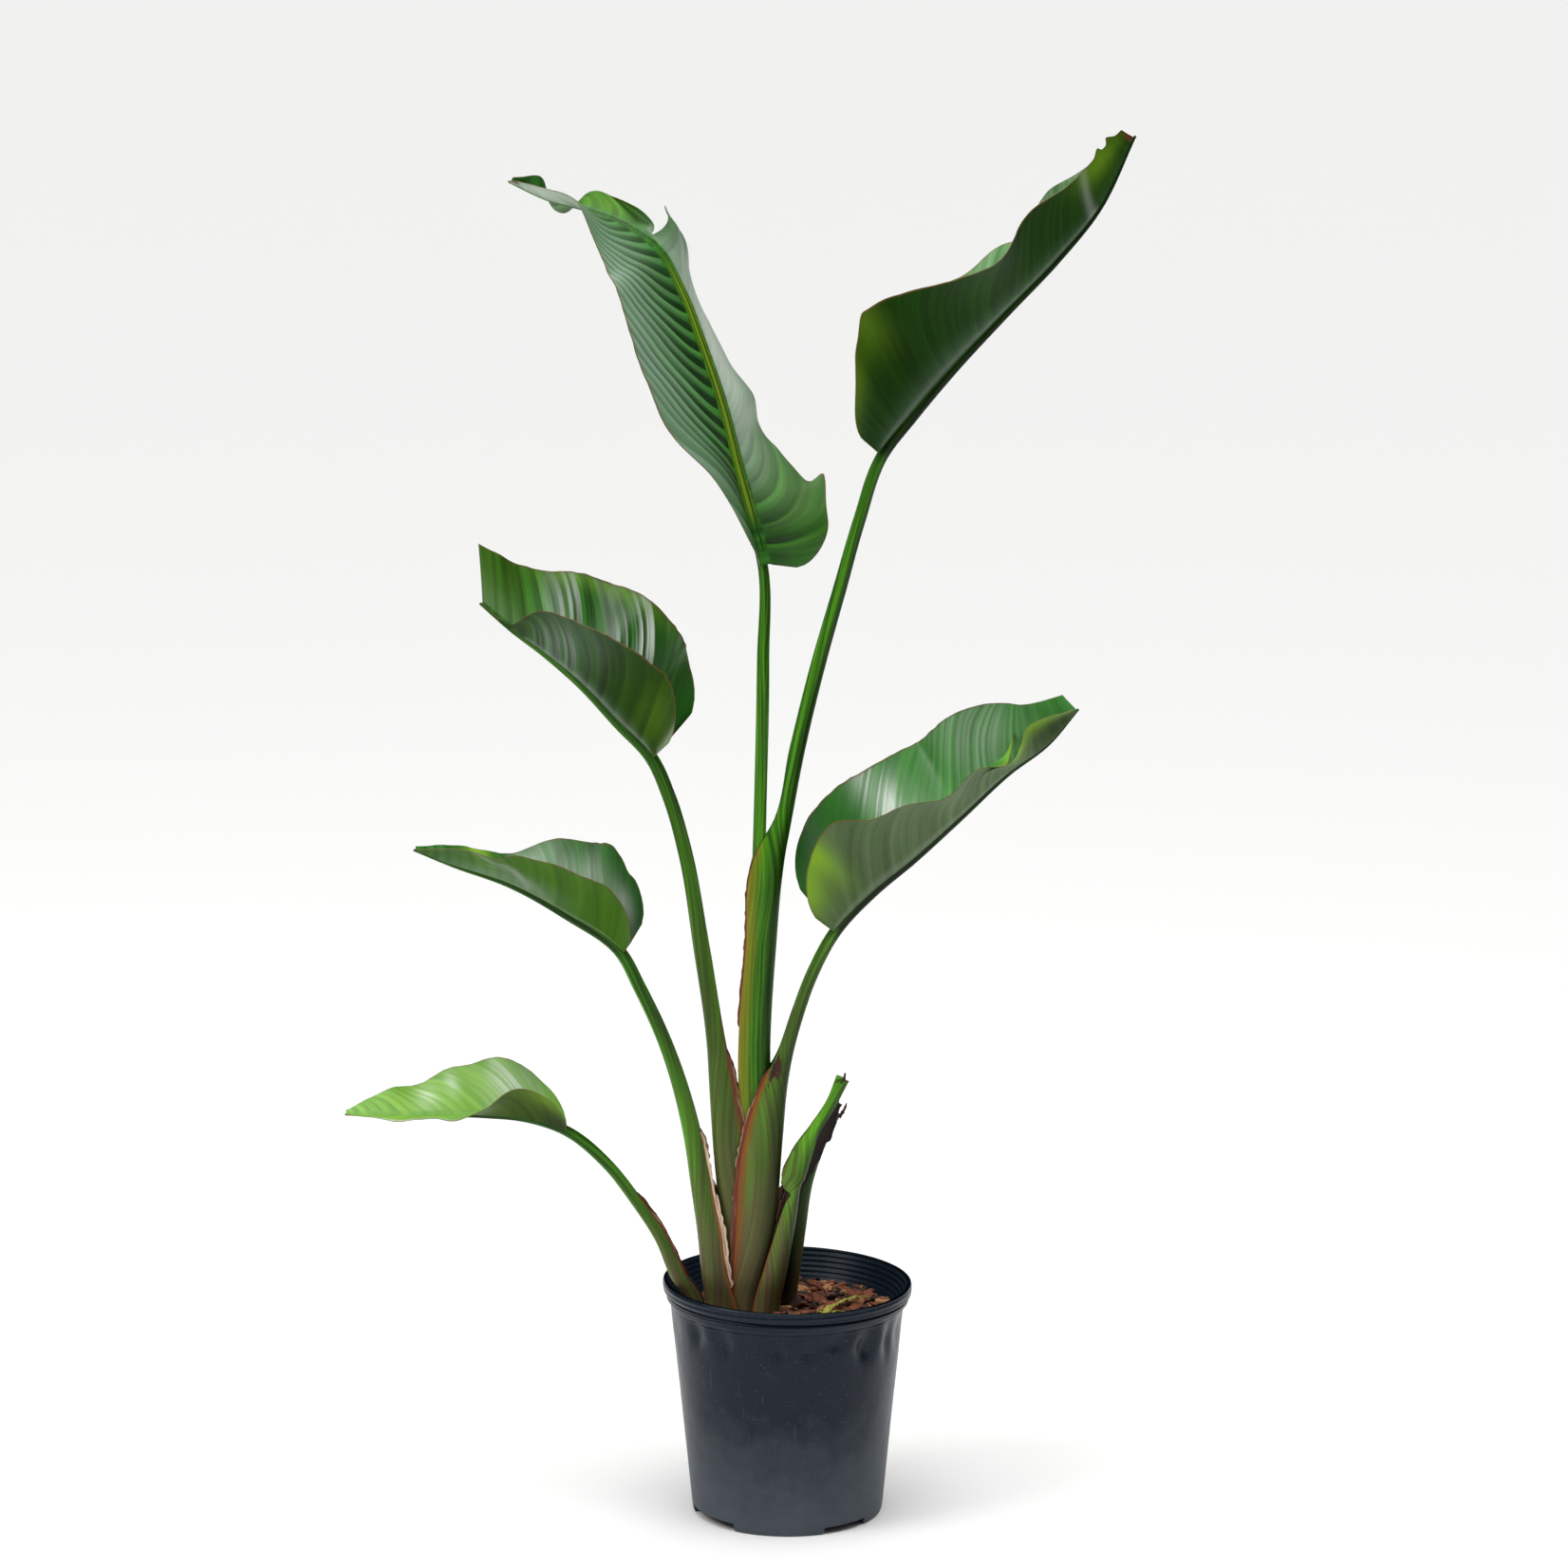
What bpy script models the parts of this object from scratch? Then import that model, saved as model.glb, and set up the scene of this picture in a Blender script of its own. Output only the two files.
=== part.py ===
"""A potted giant white bird of paradise: a nursery pot, bark soil, six leaves on their stalks and two cut stubs."""

import math
import random

import bmesh
import bpy
import numpy as np

MM = 0.001

# Pot
POT_HEIGHT = 243 * MM
RIM_RADIUS = 127 * MM
BASE_RADIUS = 97.5 * MM
WALL = 1.8 * MM
SHOULDER_HEIGHT = 221 * MM
SHOULDER_RADIUS = 117 * MM
POT_STEPS = 42
RIM_LEAN = 0.018
DENTS = 9
DENT_DEPTH = 4.2 * MM
DENT_HEIGHT = 196 * MM
NOTCH_SIZE = (26 * MM, 20 * MM, 9 * MM)
NOTCH_ANGLES = (45, 135, 225, 315)

# Soil
SOIL_TOP = 217 * MM
SOIL_GAP = 1.1 * MM
CHIPS = 38
CHIP_SIZE = (15 * MM, 7 * MM, 4 * MM)
HOLE_FLOOR = 184.1 * MM

# Stalks and blades
SHEATH_WALL = 1.8 * MM
BLADE = 0.8 * MM
CLEAR = 0.35 * MM
RIB_GAP = 0.7 * MM
STALK_STEP = 50 * MM
RIB_STEP = 26 * MM
BLADE_ROWS = 21

LEFT, RIGHT = -1, 1
NEAR, FAR = 1, -1


def smooth(low, high, x):
    t = min(max((x - low) / (high - low), 0.0), 1.0)
    return t * t * (3 - 2 * t)


def along(pairs, u):
    """Value at u of a smooth curve through (u, value) pairs."""
    if u <= pairs[0][0]:
        return pairs[0][1]
    for (u0, v0), (u1, v1) in zip(pairs, pairs[1:]):
        if u <= u1:
            return v0 + (v1 - v0) * smooth(u0, u1, u)
    return pairs[-1][1]


class Path:
    """A smooth curve through rows of x, y, z and other values, read by its share of the length."""

    def __init__(self, rows, samples=24):
        rows = np.asarray(rows, float)
        chord = np.linalg.norm(np.diff(rows[:, :3], axis=0), axis=1)
        at = np.concatenate([[0.0], np.cumsum(chord)])
        slope = np.gradient(rows, at, axis=0)
        dense = [rows[0]]
        for k, span in enumerate(chord):
            for t in np.linspace(0, 1, samples + 1)[1:]:
                start = (2 * t**3 - 3 * t**2 + 1) * rows[k] + (t**3 - 2 * t**2 + t) * span * slope[k]
                end = (3 * t**2 - 2 * t**3) * rows[k + 1] + (t**3 - t**2) * span * slope[k + 1]
                dense.append(start + end)
        self.dense = np.array(dense)
        steps = np.linalg.norm(np.diff(self.dense[:, :3], axis=0), axis=1)
        self.reach = np.concatenate([[0.0], np.cumsum(steps)])
        self.length = self.reach[-1]
        self.row_reach = self.reach[:: samples]

    def __call__(self, share):
        reach = share * self.length
        return np.array([np.interp(reach, self.reach, column) for column in self.dense.T])

    def stations(self, fine_from=1.0):
        """Shares of the length at every row and at even steps between, closer ones beyond fine_from."""
        shares = [0.0]
        for low, high in zip(self.row_reach, self.row_reach[1:]):
            step = RIB_STEP if low / self.length > fine_from - 0.01 else STALK_STEP
            parts = max(1, round((high - low) / step))
            shares += [(low + (high - low) * (k + 1) / parts) / self.length for k in range(parts)]
        return shares

    def frame(self, share, side, roll):
        """Point, direction, upper-face direction and near-side direction there."""
        d = 0.004
        ahead, behind = self(min(share + d, 1))[:3], self(max(share - d, 0))[:3]
        tangent = (ahead - behind) / np.linalg.norm(ahead - behind)
        upper = -side * np.cross((0, 1, 0), tangent)
        upper /= np.linalg.norm(upper)
        near = side * np.cross(tangent, upper)
        c, s = math.cos(math.radians(roll)), math.sin(math.radians(roll))
        return self(share), tangent, c * upper + s * near, c * near - s * upper


def material(name, colour, roughness, metallic=0.0):
    made = bpy.data.materials.new(name)
    made.use_nodes = True
    shader = made.node_tree.nodes["Principled BSDF"]
    shader.inputs["Base Color"].default_value = (*colour, 1)
    shader.inputs["Roughness"].default_value = roughness
    shader.inputs["Metallic"].default_value = metallic
    return made


def add_object(name, mesh, collection, colour=None):
    obj = bpy.data.objects.new(name, mesh)
    collection.objects.link(obj)
    if colour:
        mesh.materials.append(colour)
    return obj


def loft(name, sections, colour, collection):
    """A closed solid through rings of equal count; each end ring is closed by strips between its two sides."""
    count = len(sections[0])
    bm = bmesh.new()
    rings = [[bm.verts.new(point) for point in section] for section in sections]
    for lower, upper in zip(rings, rings[1:]):
        for k in range(count):
            j = (k + 1) % count
            bm.faces.new((lower[k], lower[j], upper[j], upper[k]))
    for ring in (rings[0], rings[-1]):
        for k in range(count // 2 - 1):
            bm.faces.new((ring[k], ring[k + 1], ring[count - 2 - k], ring[count - 1 - k]))
    bmesh.ops.recalc_face_normals(bm, faces=bm.faces)
    bmesh.ops.triangulate(bm, faces=bm.faces)
    mesh = bpy.data.meshes.new(name)
    bm.to_mesh(mesh)
    bm.free()
    mesh.shade_smooth()
    mesh.set_sharp_from_angle(angle=math.radians(40))
    return add_object(name, mesh, collection, colour)


def channel(depth, width, keel, turn=5):
    """Section of a stalk as (up, sideways) pairs: a round keel below, two side walls and a groove open above.

    depth is half its height, width half its breadth and keel the thickness below the groove.
    """
    solid = smooth(0.3, 0.7, keel / (2 * depth))
    round_part = min(1.1 * width, 1.45 * depth)
    middle = round_part - depth
    wall = SHEATH_WALL + (0.5 * width - SHEATH_WALL) * solid
    lean = 1 - 0.22 * solid
    floor = keel - depth
    groove = max(middle, floor + 0.15 * (depth - floor))
    outer, inner = [(depth, -width * lean)], [(depth - 0.2 * MM, -(width * lean - SHEATH_WALL * (1 - 0.2 * solid)))]
    for k in range(turn + 1):
        angle = math.pi * (k / turn - 0.5)
        outer.append((middle - round_part * math.cos(angle), width * math.sin(angle)))
        inner.append((groove - (groove - floor) * math.cos(angle), (width - wall) * math.sin(angle)))
    outer.append((depth, width * lean))
    inner.append((inner[0][0], -inner[0][1]))
    return outer + inner[::-1]


def make_stalk(name, side, path, roll, colour, collection, blade_from=1.0):
    """A leaf stalk: sheath at the foot, grooved stalk above and the rib under the blade."""
    sections = []
    for share in path.stations(blade_from):
        row, _, upper, near = path.frame(share, side, roll(share))
        depth, width, keel = row[3:6]
        ring = channel(depth, width, keel)
        sections.append([row[:3] + upper * up + near * sideways for up, sideways in ring])
    return loft(name, sections, colour, collection)


def make_margin(name, side, path, face, reach, colour, collection):
    """The dry papery edge of a sheath: a strip that stands out from one side wall, between two heights."""
    start, end, widest = reach
    shares = [share for share in path.stations() if start <= share <= end]
    sections = []
    for k, share in enumerate(shares):
        t = k / (len(shares) - 1)
        row, _, upper, near = path.frame(share, side, 0)
        depth, width, keel = row[3:6]
        solid = smooth(0.3, 0.7, keel / (2 * depth))
        edge = width * (1 - 0.22 * solid) - 0.5 * SHEATH_WALL
        breadth = widest * (0.35 + 0.65 * math.sin(math.pi * min(t * 0.75 + 0.2, 1)) ** 0.7)
        breadth *= 1 + 0.18 * math.sin(9 * t + 2 * face)
        half = 0.4 * MM
        ring = []
        for up, sideways in ((CLEAR, -half), (breadth, -half), (breadth, half), (CLEAR, half)):
            ring.append(row[:3] + upper * (depth + up) + near * face * (edge + sideways))
        sections.append(ring)
    return loft(name, sections, colour, collection)


def blade_width(leaf, u, side):
    """Half width of the blade at a share of its length, from the rib to the margin."""
    widest, power = leaf["widest"], leaf["taper"]
    if u < widest:
        shape = math.sqrt(max(1 - ((widest - u) / widest) ** 2, 0)) ** leaf["base"][0 if side == NEAR else 1]
    else:
        shape = 1 - ((u - widest) / (1 - widest)) ** power
    blunt = leaf.get("blunt", (0.05, 0.05))[0 if side == NEAR else 1]
    return leaf["half"] * (blunt * u**3 + (1 - blunt * u**3) * shape)


def blade_rows(leaf):
    """Shares of the blade's length with a row of points, with a close pair at each tear."""
    rows = [k / (BLADE_ROWS - 1) for k in range(BLADE_ROWS)]
    for _, at, _ in leaf.get("tears", ()):
        rows = [u for u in rows if abs(u - at) > 0.02] + [at - 0.006, at + 0.006]
    return sorted(rows)


def blade_point(leaf, path, start, u, side, v):
    """Point of the blade at a share u of its length and a share v of the way from the rib to the margin."""
    share = start + (1 - start) * u * 0.995
    row, tangent, upper, near = path.frame(share, leaf["side"], along(leaf["roll"], u))
    depth, width = row[3:5]
    rib = width + 1.0 * MM
    origin = row[:3] + upper * (depth + BLADE / 2 + RIB_GAP)
    outward = near * side
    if v == 0:
        return origin + outward * rib * 0.999
    spread = max(blade_width(leaf, u, side), rib + 3 * MM) - rib
    lift = along(leaf["near" if side == NEAR else "far"], u)
    curl = leaf.get("curl", (10, 10))[0 if side == NEAR else 1]
    place = origin + outward * rib
    steps = 8
    for k in range(steps):
        t = v * (k + 0.5) / steps
        angle = math.radians(lift + curl * (t - 0.5))
        place = place + (math.cos(angle) * outward + math.sin(angle) * upper) * spread * v / steps
    face = math.cos(math.radians(lift)) * upper - math.sin(math.radians(lift)) * outward
    waves, height, phase = leaf["wave"]
    ripple = math.sin(2 * math.pi * (waves * u + phase) + side * 1.3) * height * v * v * math.sin(math.pi * u) ** 0.5
    forward = leaf.get("forward", (0, 0))[0 if side == NEAR else 1]
    back = leaf.get("back", (0, 0))[0 if side == NEAR else 1]
    sweep = (0.06 + forward * u * u) * spread * v * v - back * spread * v * max(1 - u / 0.2, 0)
    return place + face * ripple + tangent * sweep


def make_blade(leaf, path, start, colour, collection):
    """The blade: a grid shaped over the rib, cut where it is torn, split into triangles and given its thickness."""
    rows = blade_rows(leaf)
    across = (1.0, 0.68, 0.34, 0.0)
    columns = [(FAR, v) for v in across] + [(NEAR, v) for v in across[::-1]]
    bm = bmesh.new()
    bmesh.ops.create_grid(bm, x_segments=len(columns) - 1, y_segments=len(rows) - 1, size=1)
    cell = {}
    for vert in bm.verts:
        i = round((vert.co.x + 1) / 2 * (len(columns) - 1))
        j = round((vert.co.y + 1) / 2 * (len(rows) - 1))
        cell[vert] = (i, j)
    torn = []
    for side, at, depth in leaf.get("tears", ()):
        lower = min(range(len(rows)), key=lambda j: abs(rows[j] - (at - 0.006)))
        for face in bm.faces:
            spots = [cell[vert] for vert in face.verts]
            in_slot = {j for _, j in spots} == {lower, lower + 1}
            if in_slot and all(columns[i][0] == side and columns[i][1] >= depth for i, _ in spots):
                torn.append(face)
    bmesh.ops.delete(bm, geom=torn, context="FACES")
    for vert in bm.verts:
        i, j = cell[vert]
        side, v = columns[i]
        vert.co = blade_point(leaf, path, start, rows[j], side, v)
    mesh = bpy.data.meshes.new(leaf["name"] + "_blade")
    bm.to_mesh(mesh)
    bm.free()
    mesh.shade_smooth()
    obj = add_object(leaf["name"] + "_blade", mesh, collection, colour)
    obj.modifiers.new("Triangles", "TRIANGULATE")
    solid = obj.modifiers.new("Thickness", "SOLIDIFY")
    solid.thickness = BLADE
    solid.offset = 0
    return obj


# Each leaf: the side it leans to, the rows of its stalk (x, y, z, half depth, half width, keel thickness, in mm),
# the points of its rib under the blade (x, y, z), and the shape of its blade. Angles are in degrees from flat,
# by the share of the blade's length: near and far are the lift of the two halves, roll turns the whole blade.
LEAVES = (
    dict(
        name="leaf_1_youngest", side=LEFT,
        stalk=((-43, -32, 185, 5.5, 6.2, 6.5), (-41.5, -32, 300, 6, 6.2, 7.5), (-36, -32, 500, 6.6, 6.2, 9),
               (-28.5, -32, 695, 6.6, 6.2, 9.5), (-25, -29, 890, 5.6, 5.6, 8), (-25, -27, 985, 5, 5, 7)),
        rib=((-32, -25, 1023), (-43, -22, 1075), (-57, -18, 1146), (-74, -12, 1200), (-94, -6, 1254),
             (-121, 0, 1297), (-154, 6, 1319), (-196, 12, 1337), (-238, 18, 1350), (-276, 24, 1362)),
        half=108, widest=0.36, taper=1.9, base=(0.9, 0.45), blunt=(0.05, 0.05), back=(0, 0.3), curl=(-14, -10),
        roll=((0, 62), (0.6, 66), (0.75, 50), (1, 30)),
        near=((0, 60), (0.15, 51), (0.25, 38), (0.4, 26), (0.52, 22), (0.68, 12), (0.8, 22), (1, 40)),
        far=((0, -12), (0.1, -12), (0.18, -46), (0.32, -66), (0.52, -74), (0.62, -70), (0.7, -44), (0.725, -50),
             (0.85, -36), (1, -20)),
        wave=(5, 3, 0.1), tears=((FAR, 0.71, 0.34),),
    ),
    dict(
        name="leaf_2_upper_right", side=RIGHT,
        stalk=((-39, -32, 185, 9, 10, 4), (-38.5, -32, 225, 9.5, 10, 4), (-34, -32, 300, 14.5, 10, 4.5),
               (-32, -32, 400, 16.3, 10, 5), (-33.3, -32, 498, 16.3, 10, 6.5), (-26.6, -32, 596, 15.2, 10, 9),
               (-17.5, -32, 690, 15, 10, 13), (-6, -31, 722, 9.2, 8.5, 12), (10, -29, 800, 7.8, 7.6, 11.5),
               (31, -26, 886, 7.3, 7, 10.8), (52, -23, 960, 6.6, 6.4, 9.8), (71, -20, 1027, 6, 6, 9),
               (94.5, -16, 1093, 5.6, 5.7, 8.4)),
        rib=((124, -12, 1130), (162, -6, 1174), (218, 2, 1233), (266, 8, 1282), (308, 14, 1333), (343, 22, 1405)),
        half=116, widest=0.27, taper=1.55, base=(0.8, 0.8), curl=(-20, -10),
        roll=((0, 6), (1, 8)),
        near=((0, 40), (0.11, 48), (0.23, 74), (0.32, 53), (0.48, 32), (0.6, 30), (1, 34)),
        far=((0, 34), (0.2, 42), (0.34, 31), (0.48, 14), (0.58, 16), (0.72, 36), (0.8, 50), (1, 46)),
        wave=(4, 3, 0.3),
    ),
    dict(
        name="leaf_3_middle_left", side=LEFT,
        stalk=((-52, -32, 185, 10.5, 12.6, 4), (-52.5, -32, 225, 11, 12.6, 4), (-54.5, -32, 300, 13, 12.6, 5),
               (-60, -32, 400, 16, 12.6, 6), (-66, -32, 450, 13, 12.6, 7), (-72, -32, 498, 9.6, 11.6, 7.2),
               (-86.5, -30, 597, 8.2, 8, 11), (-103, -27, 694, 6.8, 6.8, 9.8), (-119, -25, 750, 6.3, 6.3, 9.2),
               (-137, -23, 790, 6, 6, 8.8)),
        rib=((-169, -20, 823), (-207, -16, 863), (-244, -12, 894), (-276, -8, 917), (-311, -4, 942)),
        half=108, widest=0.36, taper=2.0, base=(0.85, 0.4), blunt=(0.12, 0.46), forward=(0, 0.95), back=(0, 0.25),
        curl=(-16, 14),
        roll=((0, 18), (1, 22)),
        near=((0, 50), (0.2, 60), (0.5, 53), (0.78, 48), (1, 34)),
        far=((0, 32), (0.2, 40), (0.35, 42), (0.55, 28), (0.8, 25), (1, 44)),
        wave=(4, 3, 0.6), tears=((NEAR, 0.8, 0.34),),
    ),
    dict(
        name="leaf_4_lower_left", side=LEFT,
        stalk=((-65, -32, 185, 16, 17.8, 5), (-66.5, -32, 222, 16, 17.8, 5), (-74, -32, 255, 13.2, 17.8, 5.5),
               (-80, -32, 305, 12, 17, 7), (-88, -33, 352, 10.3, 12.5, 9), (-95.5, -34, 400, 9.2, 9, 10.5),
               (-122.5, -37, 498, 6.9, 7, 9.6), (-149, -40, 558, 6, 6.1, 8.8), (-168, -43, 595, 5.6, 5.6, 8.2)),
        rib=((-221, -48, 634), (-278, -54, 667), (-334, -60, 688), (-372, -64, 704)),
        half=86, widest=0.3, taper=1.7, base=(0.85, 0.7), curl=(-14, 12),
        roll=((0, 16), (1, 20)),
        near=((0, 50), (0.2, 55), (0.5, 43), (0.8, 37), (1, 35)),
        far=((0, 34), (0.2, 41), (0.3, 33), (0.42, 12), (0.55, -8), (0.7, -8), (1, 4)),
        wave=(4, 3, 0.2),
    ),
    dict(
        name="leaf_5_lowest_left", side=LEFT,
        stalk=((-94, -32, 185, 8, 8.2, 8), (-94, -32, 230, 8.5, 8.2, 9), (-111, -34, 256, 7.6, 7.8, 9.5),
               (-128, -37, 296, 6.4, 6.8, 9), (-153.5, -41, 337, 5.6, 6, 8.2), (-182, -46, 376, 5.2, 5.4, 7.6),
               (-226, -53, 414, 4.6, 5, 6.8)),
        rib=((-261, -60, 427), (-307, -68, 433), (-372, -80, 436), (-442, -92, 440)),
        half=67, widest=0.38, taper=1.7, base=(0.9, 0.95), curl=(-10, -8),
        roll=((0, 22), (1, 26)),
        near=((0, 60), (0.22, 60), (0.42, 34), (0.7, 28), (1, 28)),
        far=((0, 4), (0.3, 22), (0.5, 14), (1, 16)),
        wave=(4, 3, 0.45),
    ),
    dict(
        name="leaf_6_middle_right", side=RIGHT,
        stalk=((-40, -32, 185, 16, 15.2, 4.5), (-40.5, -32, 225, 16.5, 15.2, 4.5), (-32.5, -32, 300, 20, 15.2, 5.5),
               (-24, -32, 400, 19.5, 15.2, 6.5), (-12.5, -32, 457, 13.2, 13.2, 8), (-3.8, -33, 483, 8.6, 9.5, 10),
               (10, -35, 529, 6.4, 6.6, 9.2), (24, -37, 568, 5.8, 6, 8.5), (49.5, -41, 617, 5.5, 5.6, 8.2)),
        rib=((86, -46, 657), (125, -52, 691), (172, -60, 736), (218, -68, 784), (255, -74, 820), (287, -80, 853)),
        half=106, widest=0.3, taper=2.3, base=(0.8, 0.45), back=(0, 0.12), curl=(-22, 12),
        roll=((0, 20), (1, 24)),
        near=((0, 60), (0.2, 65), (0.4, 44), (0.6, 40), (0.72, 28), (1, 18)),
        far=((0, 44), (0.2, 50), (0.35, 36), (0.45, 27), (0.52, 27), (0.62, 44), (0.75, 56), (1, 56)),
        wave=(5, 3, 0.8), tears=((NEAR, 0.73, 0.34),),
    ),
)

# Dry sheath edges: leaf number, start and end as shares of the whole stalk and rib, widest breadth in mm
MARGINS = ((1, 0.25, 0.39, 2.5), (2, 0.12, 0.36, 6), (3, 0.09, 0.34, 4), (4, 0.14, 0.35, 3), (5, 0.06, 0.37, 5))

STUB_FRONT = ((-22, -32, 185, 14, 20.4, 5), (-22, -32, 222, 14, 20.4, 5), (-12.5, -33, 263, 12.5, 18, 6),
              (-3.5, -35, 300, 9.8, 13, 8), (4.5, -36, 335, 6.8, 9.5, 9), (7, -37, 349, 4.9, 8, 7),
              (0.5, -38, 358, 6.8, 7.5, 8), (20, -39, 400, 6.8, 7, 8.5), (42, -41, 438, 5.6, 6, 8),
              (53, -42, 463, 4.2, 5, 7))
STUB_BACK = ((0, 3, 185, 7, 8, 9), (2, 3, 222, 7, 8, 9), (7, 0, 258, 7, 8, 9.5), (12, -4, 300, 7.2, 7.6, 9),
             (18, -8, 350, 8, 7.2, 9), (34, -12, 394, 7, 6.6, 8.5), (50, -15, 424, 5, 5.6, 7))


def in_metres(rows):
    return [[value * MM for value in row] for row in rows]


def leaf_path(leaf):
    """The path of a leaf's stalk and rib, and the share of its length at which the blade starts."""
    stalk = in_metres(leaf["stalk"])
    rib = in_metres(leaf["rib"])
    depth, width, keel = stalk[-1][3:]
    rows = list(stalk)
    for k, point in enumerate(rib):
        slim = 1 - 0.78 * (k + 1) / len(rib)
        rows.append([*point, depth * slim, width * slim, keel * slim])
    path = Path(rows)
    start = path.row_reach[len(stalk) - 1] / path.length
    return path, start


def make_leaf(leaf, materials, collection):
    leaf = dict(leaf)
    leaf["half"] = leaf["half"] * MM
    leaf["wave"] = (leaf["wave"][0], leaf["wave"][1] * MM, leaf["wave"][2])
    path, start = leaf_path(leaf)

    def roll(share):
        if share < start:
            return along(leaf["roll"], 0) * smooth(start * 0.7, start, share)
        return along(leaf["roll"], (share - start) / (1 - start))

    make_stalk(leaf["name"] + "_stalk", leaf["side"], path, roll, materials["stalk"], collection, start)
    make_blade(leaf, path, start, materials["blade"], collection)
    return path


def pot_warp(point):
    """Moves a point of the wall as soft plastic sits: finger dents below the rim, a faint oval and a lean of the rim."""
    x, y, z = point
    angle = math.atan2(y, x)
    draw = random.Random(11)
    push = 0.0
    for k in range(DENTS):
        centre = 2 * math.pi * (k + draw.uniform(-0.22, 0.22)) / DENTS
        depth = DENT_DEPTH * draw.uniform(0.5, 1.1)
        high = DENT_HEIGHT + draw.uniform(-14, 8) * MM
        apart = math.remainder(angle - centre, 2 * math.pi)
        push -= depth * math.exp(-((apart / 0.17) ** 2) - ((z - high) / (17 * MM)) ** 2)
    push += 0.8 * MM * math.cos(2 * angle + 0.7) * smooth(0, POT_HEIGHT, z)
    share = 1 + push * smooth(20 * MM, 90 * MM, z) / SHOULDER_RADIUS
    return x * share, y * share, z - RIM_LEAN * x * (z / POT_HEIGHT) ** 3


def wall_radius(z):
    """Outer radius of the plain wall at a height."""
    return BASE_RADIUS + (SHOULDER_RADIUS - BASE_RADIUS) * z / SHOULDER_HEIGHT


WALL_HEIGHTS = [h * MM for h in (214, 204, 194, 184, 172, 150, 100, 45)]


def turned(name, profile, colour, collection):
    """A turned solid: a profile of (radius, height) pairs spun round the axis, made a mesh and warped."""
    curve = bpy.data.meshes.new(name + "_profile")
    curve.from_pydata([(r, 0, z) for r, z in profile], [(k, k + 1) for k in range(len(profile) - 1)], [])
    outline = add_object(name + "_outline", curve, collection)
    screw = outline.modifiers.new("Turn", "SCREW")
    screw.steps = screw.render_steps = POT_STEPS
    screw.use_merge_vertices = True
    screw.merge_threshold = 0.0001
    bpy.context.view_layer.update()
    evaluated = outline.evaluated_get(bpy.context.evaluated_depsgraph_get())
    mesh = bpy.data.meshes.new_from_object(evaluated)
    mesh.name = name
    bpy.data.objects.remove(outline)
    for vert in mesh.vertices:
        vert.co = pot_warp(vert.co)
    mesh.shade_smooth()
    mesh.set_sharp_from_angle(angle=math.radians(35))
    return add_object(name, mesh, collection, colour)


def cut(obj, cutter, solver="EXACT"):
    modifier = obj.modifiers.new("Cut", "BOOLEAN")
    modifier.solver = solver
    modifier.object = cutter


def join_all(obj, pieces):
    """Joins the solids of a collection to an object for good, and removes them."""
    modifier = obj.modifiers.new("Join", "BOOLEAN")
    modifier.operation = "UNION"
    modifier.operand_type = "COLLECTION"
    modifier.collection = pieces
    modifier.solver = "MANIFOLD"
    bpy.context.view_layer.update()
    evaluated = obj.evaluated_get(bpy.context.evaluated_depsgraph_get())
    joined = bpy.data.meshes.new_from_object(evaluated)
    obj.modifiers.clear()
    obj.data = joined
    for piece in list(pieces.objects):
        bpy.data.objects.remove(piece)
    bpy.data.collections.remove(pieces)


def box(name, size, place, turn, collection):
    bm = bmesh.new()
    bmesh.ops.create_cube(bm, size=1)
    bmesh.ops.scale(bm, vec=size, verts=bm.verts)
    mesh = bpy.data.meshes.new(name)
    bm.to_mesh(mesh)
    bm.free()
    obj = add_object(name, mesh, collection)
    obj.location = place
    obj.rotation_euler = turn
    return obj


def make_pot(colour, collection, cutters):
    rim = RIM_RADIUS
    outer = [(rim - 1.6 * MM, POT_HEIGHT), (rim - 0.2 * MM, POT_HEIGHT - 1.5 * MM), (rim, POT_HEIGHT - 5 * MM),
             (rim - 0.6 * MM, POT_HEIGHT - 12.5 * MM), (rim - 5.5 * MM, POT_HEIGHT - 13.5 * MM),
             (rim - 6.2 * MM, POT_HEIGHT - 18 * MM), (SHOULDER_RADIUS + 0.4 * MM, SHOULDER_HEIGHT + 0.5 * MM)]
    outer += [(wall_radius(z), z) for z in WALL_HEIGHTS]
    outer += [(wall_radius(0) + 0.1 * MM, 4 * MM), (BASE_RADIUS - 1.4 * MM, 0.6 * MM), (BASE_RADIUS - 4 * MM, 0)]
    inner = [(BASE_RADIUS - WALL - 1.6 * MM, 2.2 * MM), (wall_radius(5 * MM) - WALL, 5 * MM)]
    inner += [(wall_radius(z) - WALL, z) for z in WALL_HEIGHTS[::-1]]
    inner += [(SHOULDER_RADIUS - WALL + 0.2 * MM, SHOULDER_HEIGHT + 2 * MM), (rim - 8.4 * MM, POT_HEIGHT - 16 * MM),
              (rim - 8 * MM, POT_HEIGHT - 11 * MM), (rim - 4.4 * MM, POT_HEIGHT - 9.5 * MM),
              (rim - 3.6 * MM, POT_HEIGHT - 1.2 * MM), (rim - 1.6 * MM, POT_HEIGHT)]
    profile = outer + [(0, 0), (0, 2.2 * MM)] + inner
    pot = turned("pot", profile, colour, collection)
    for angle in NOTCH_ANGLES:
        a = math.radians(angle)
        place = (BASE_RADIUS * math.cos(a), BASE_RADIUS * math.sin(a), 1.5 * MM)
        cut(pot, box(f"notch_{angle}", NOTCH_SIZE, place, (0, 0, a + math.pi / 2), cutters))
    return pot


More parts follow.
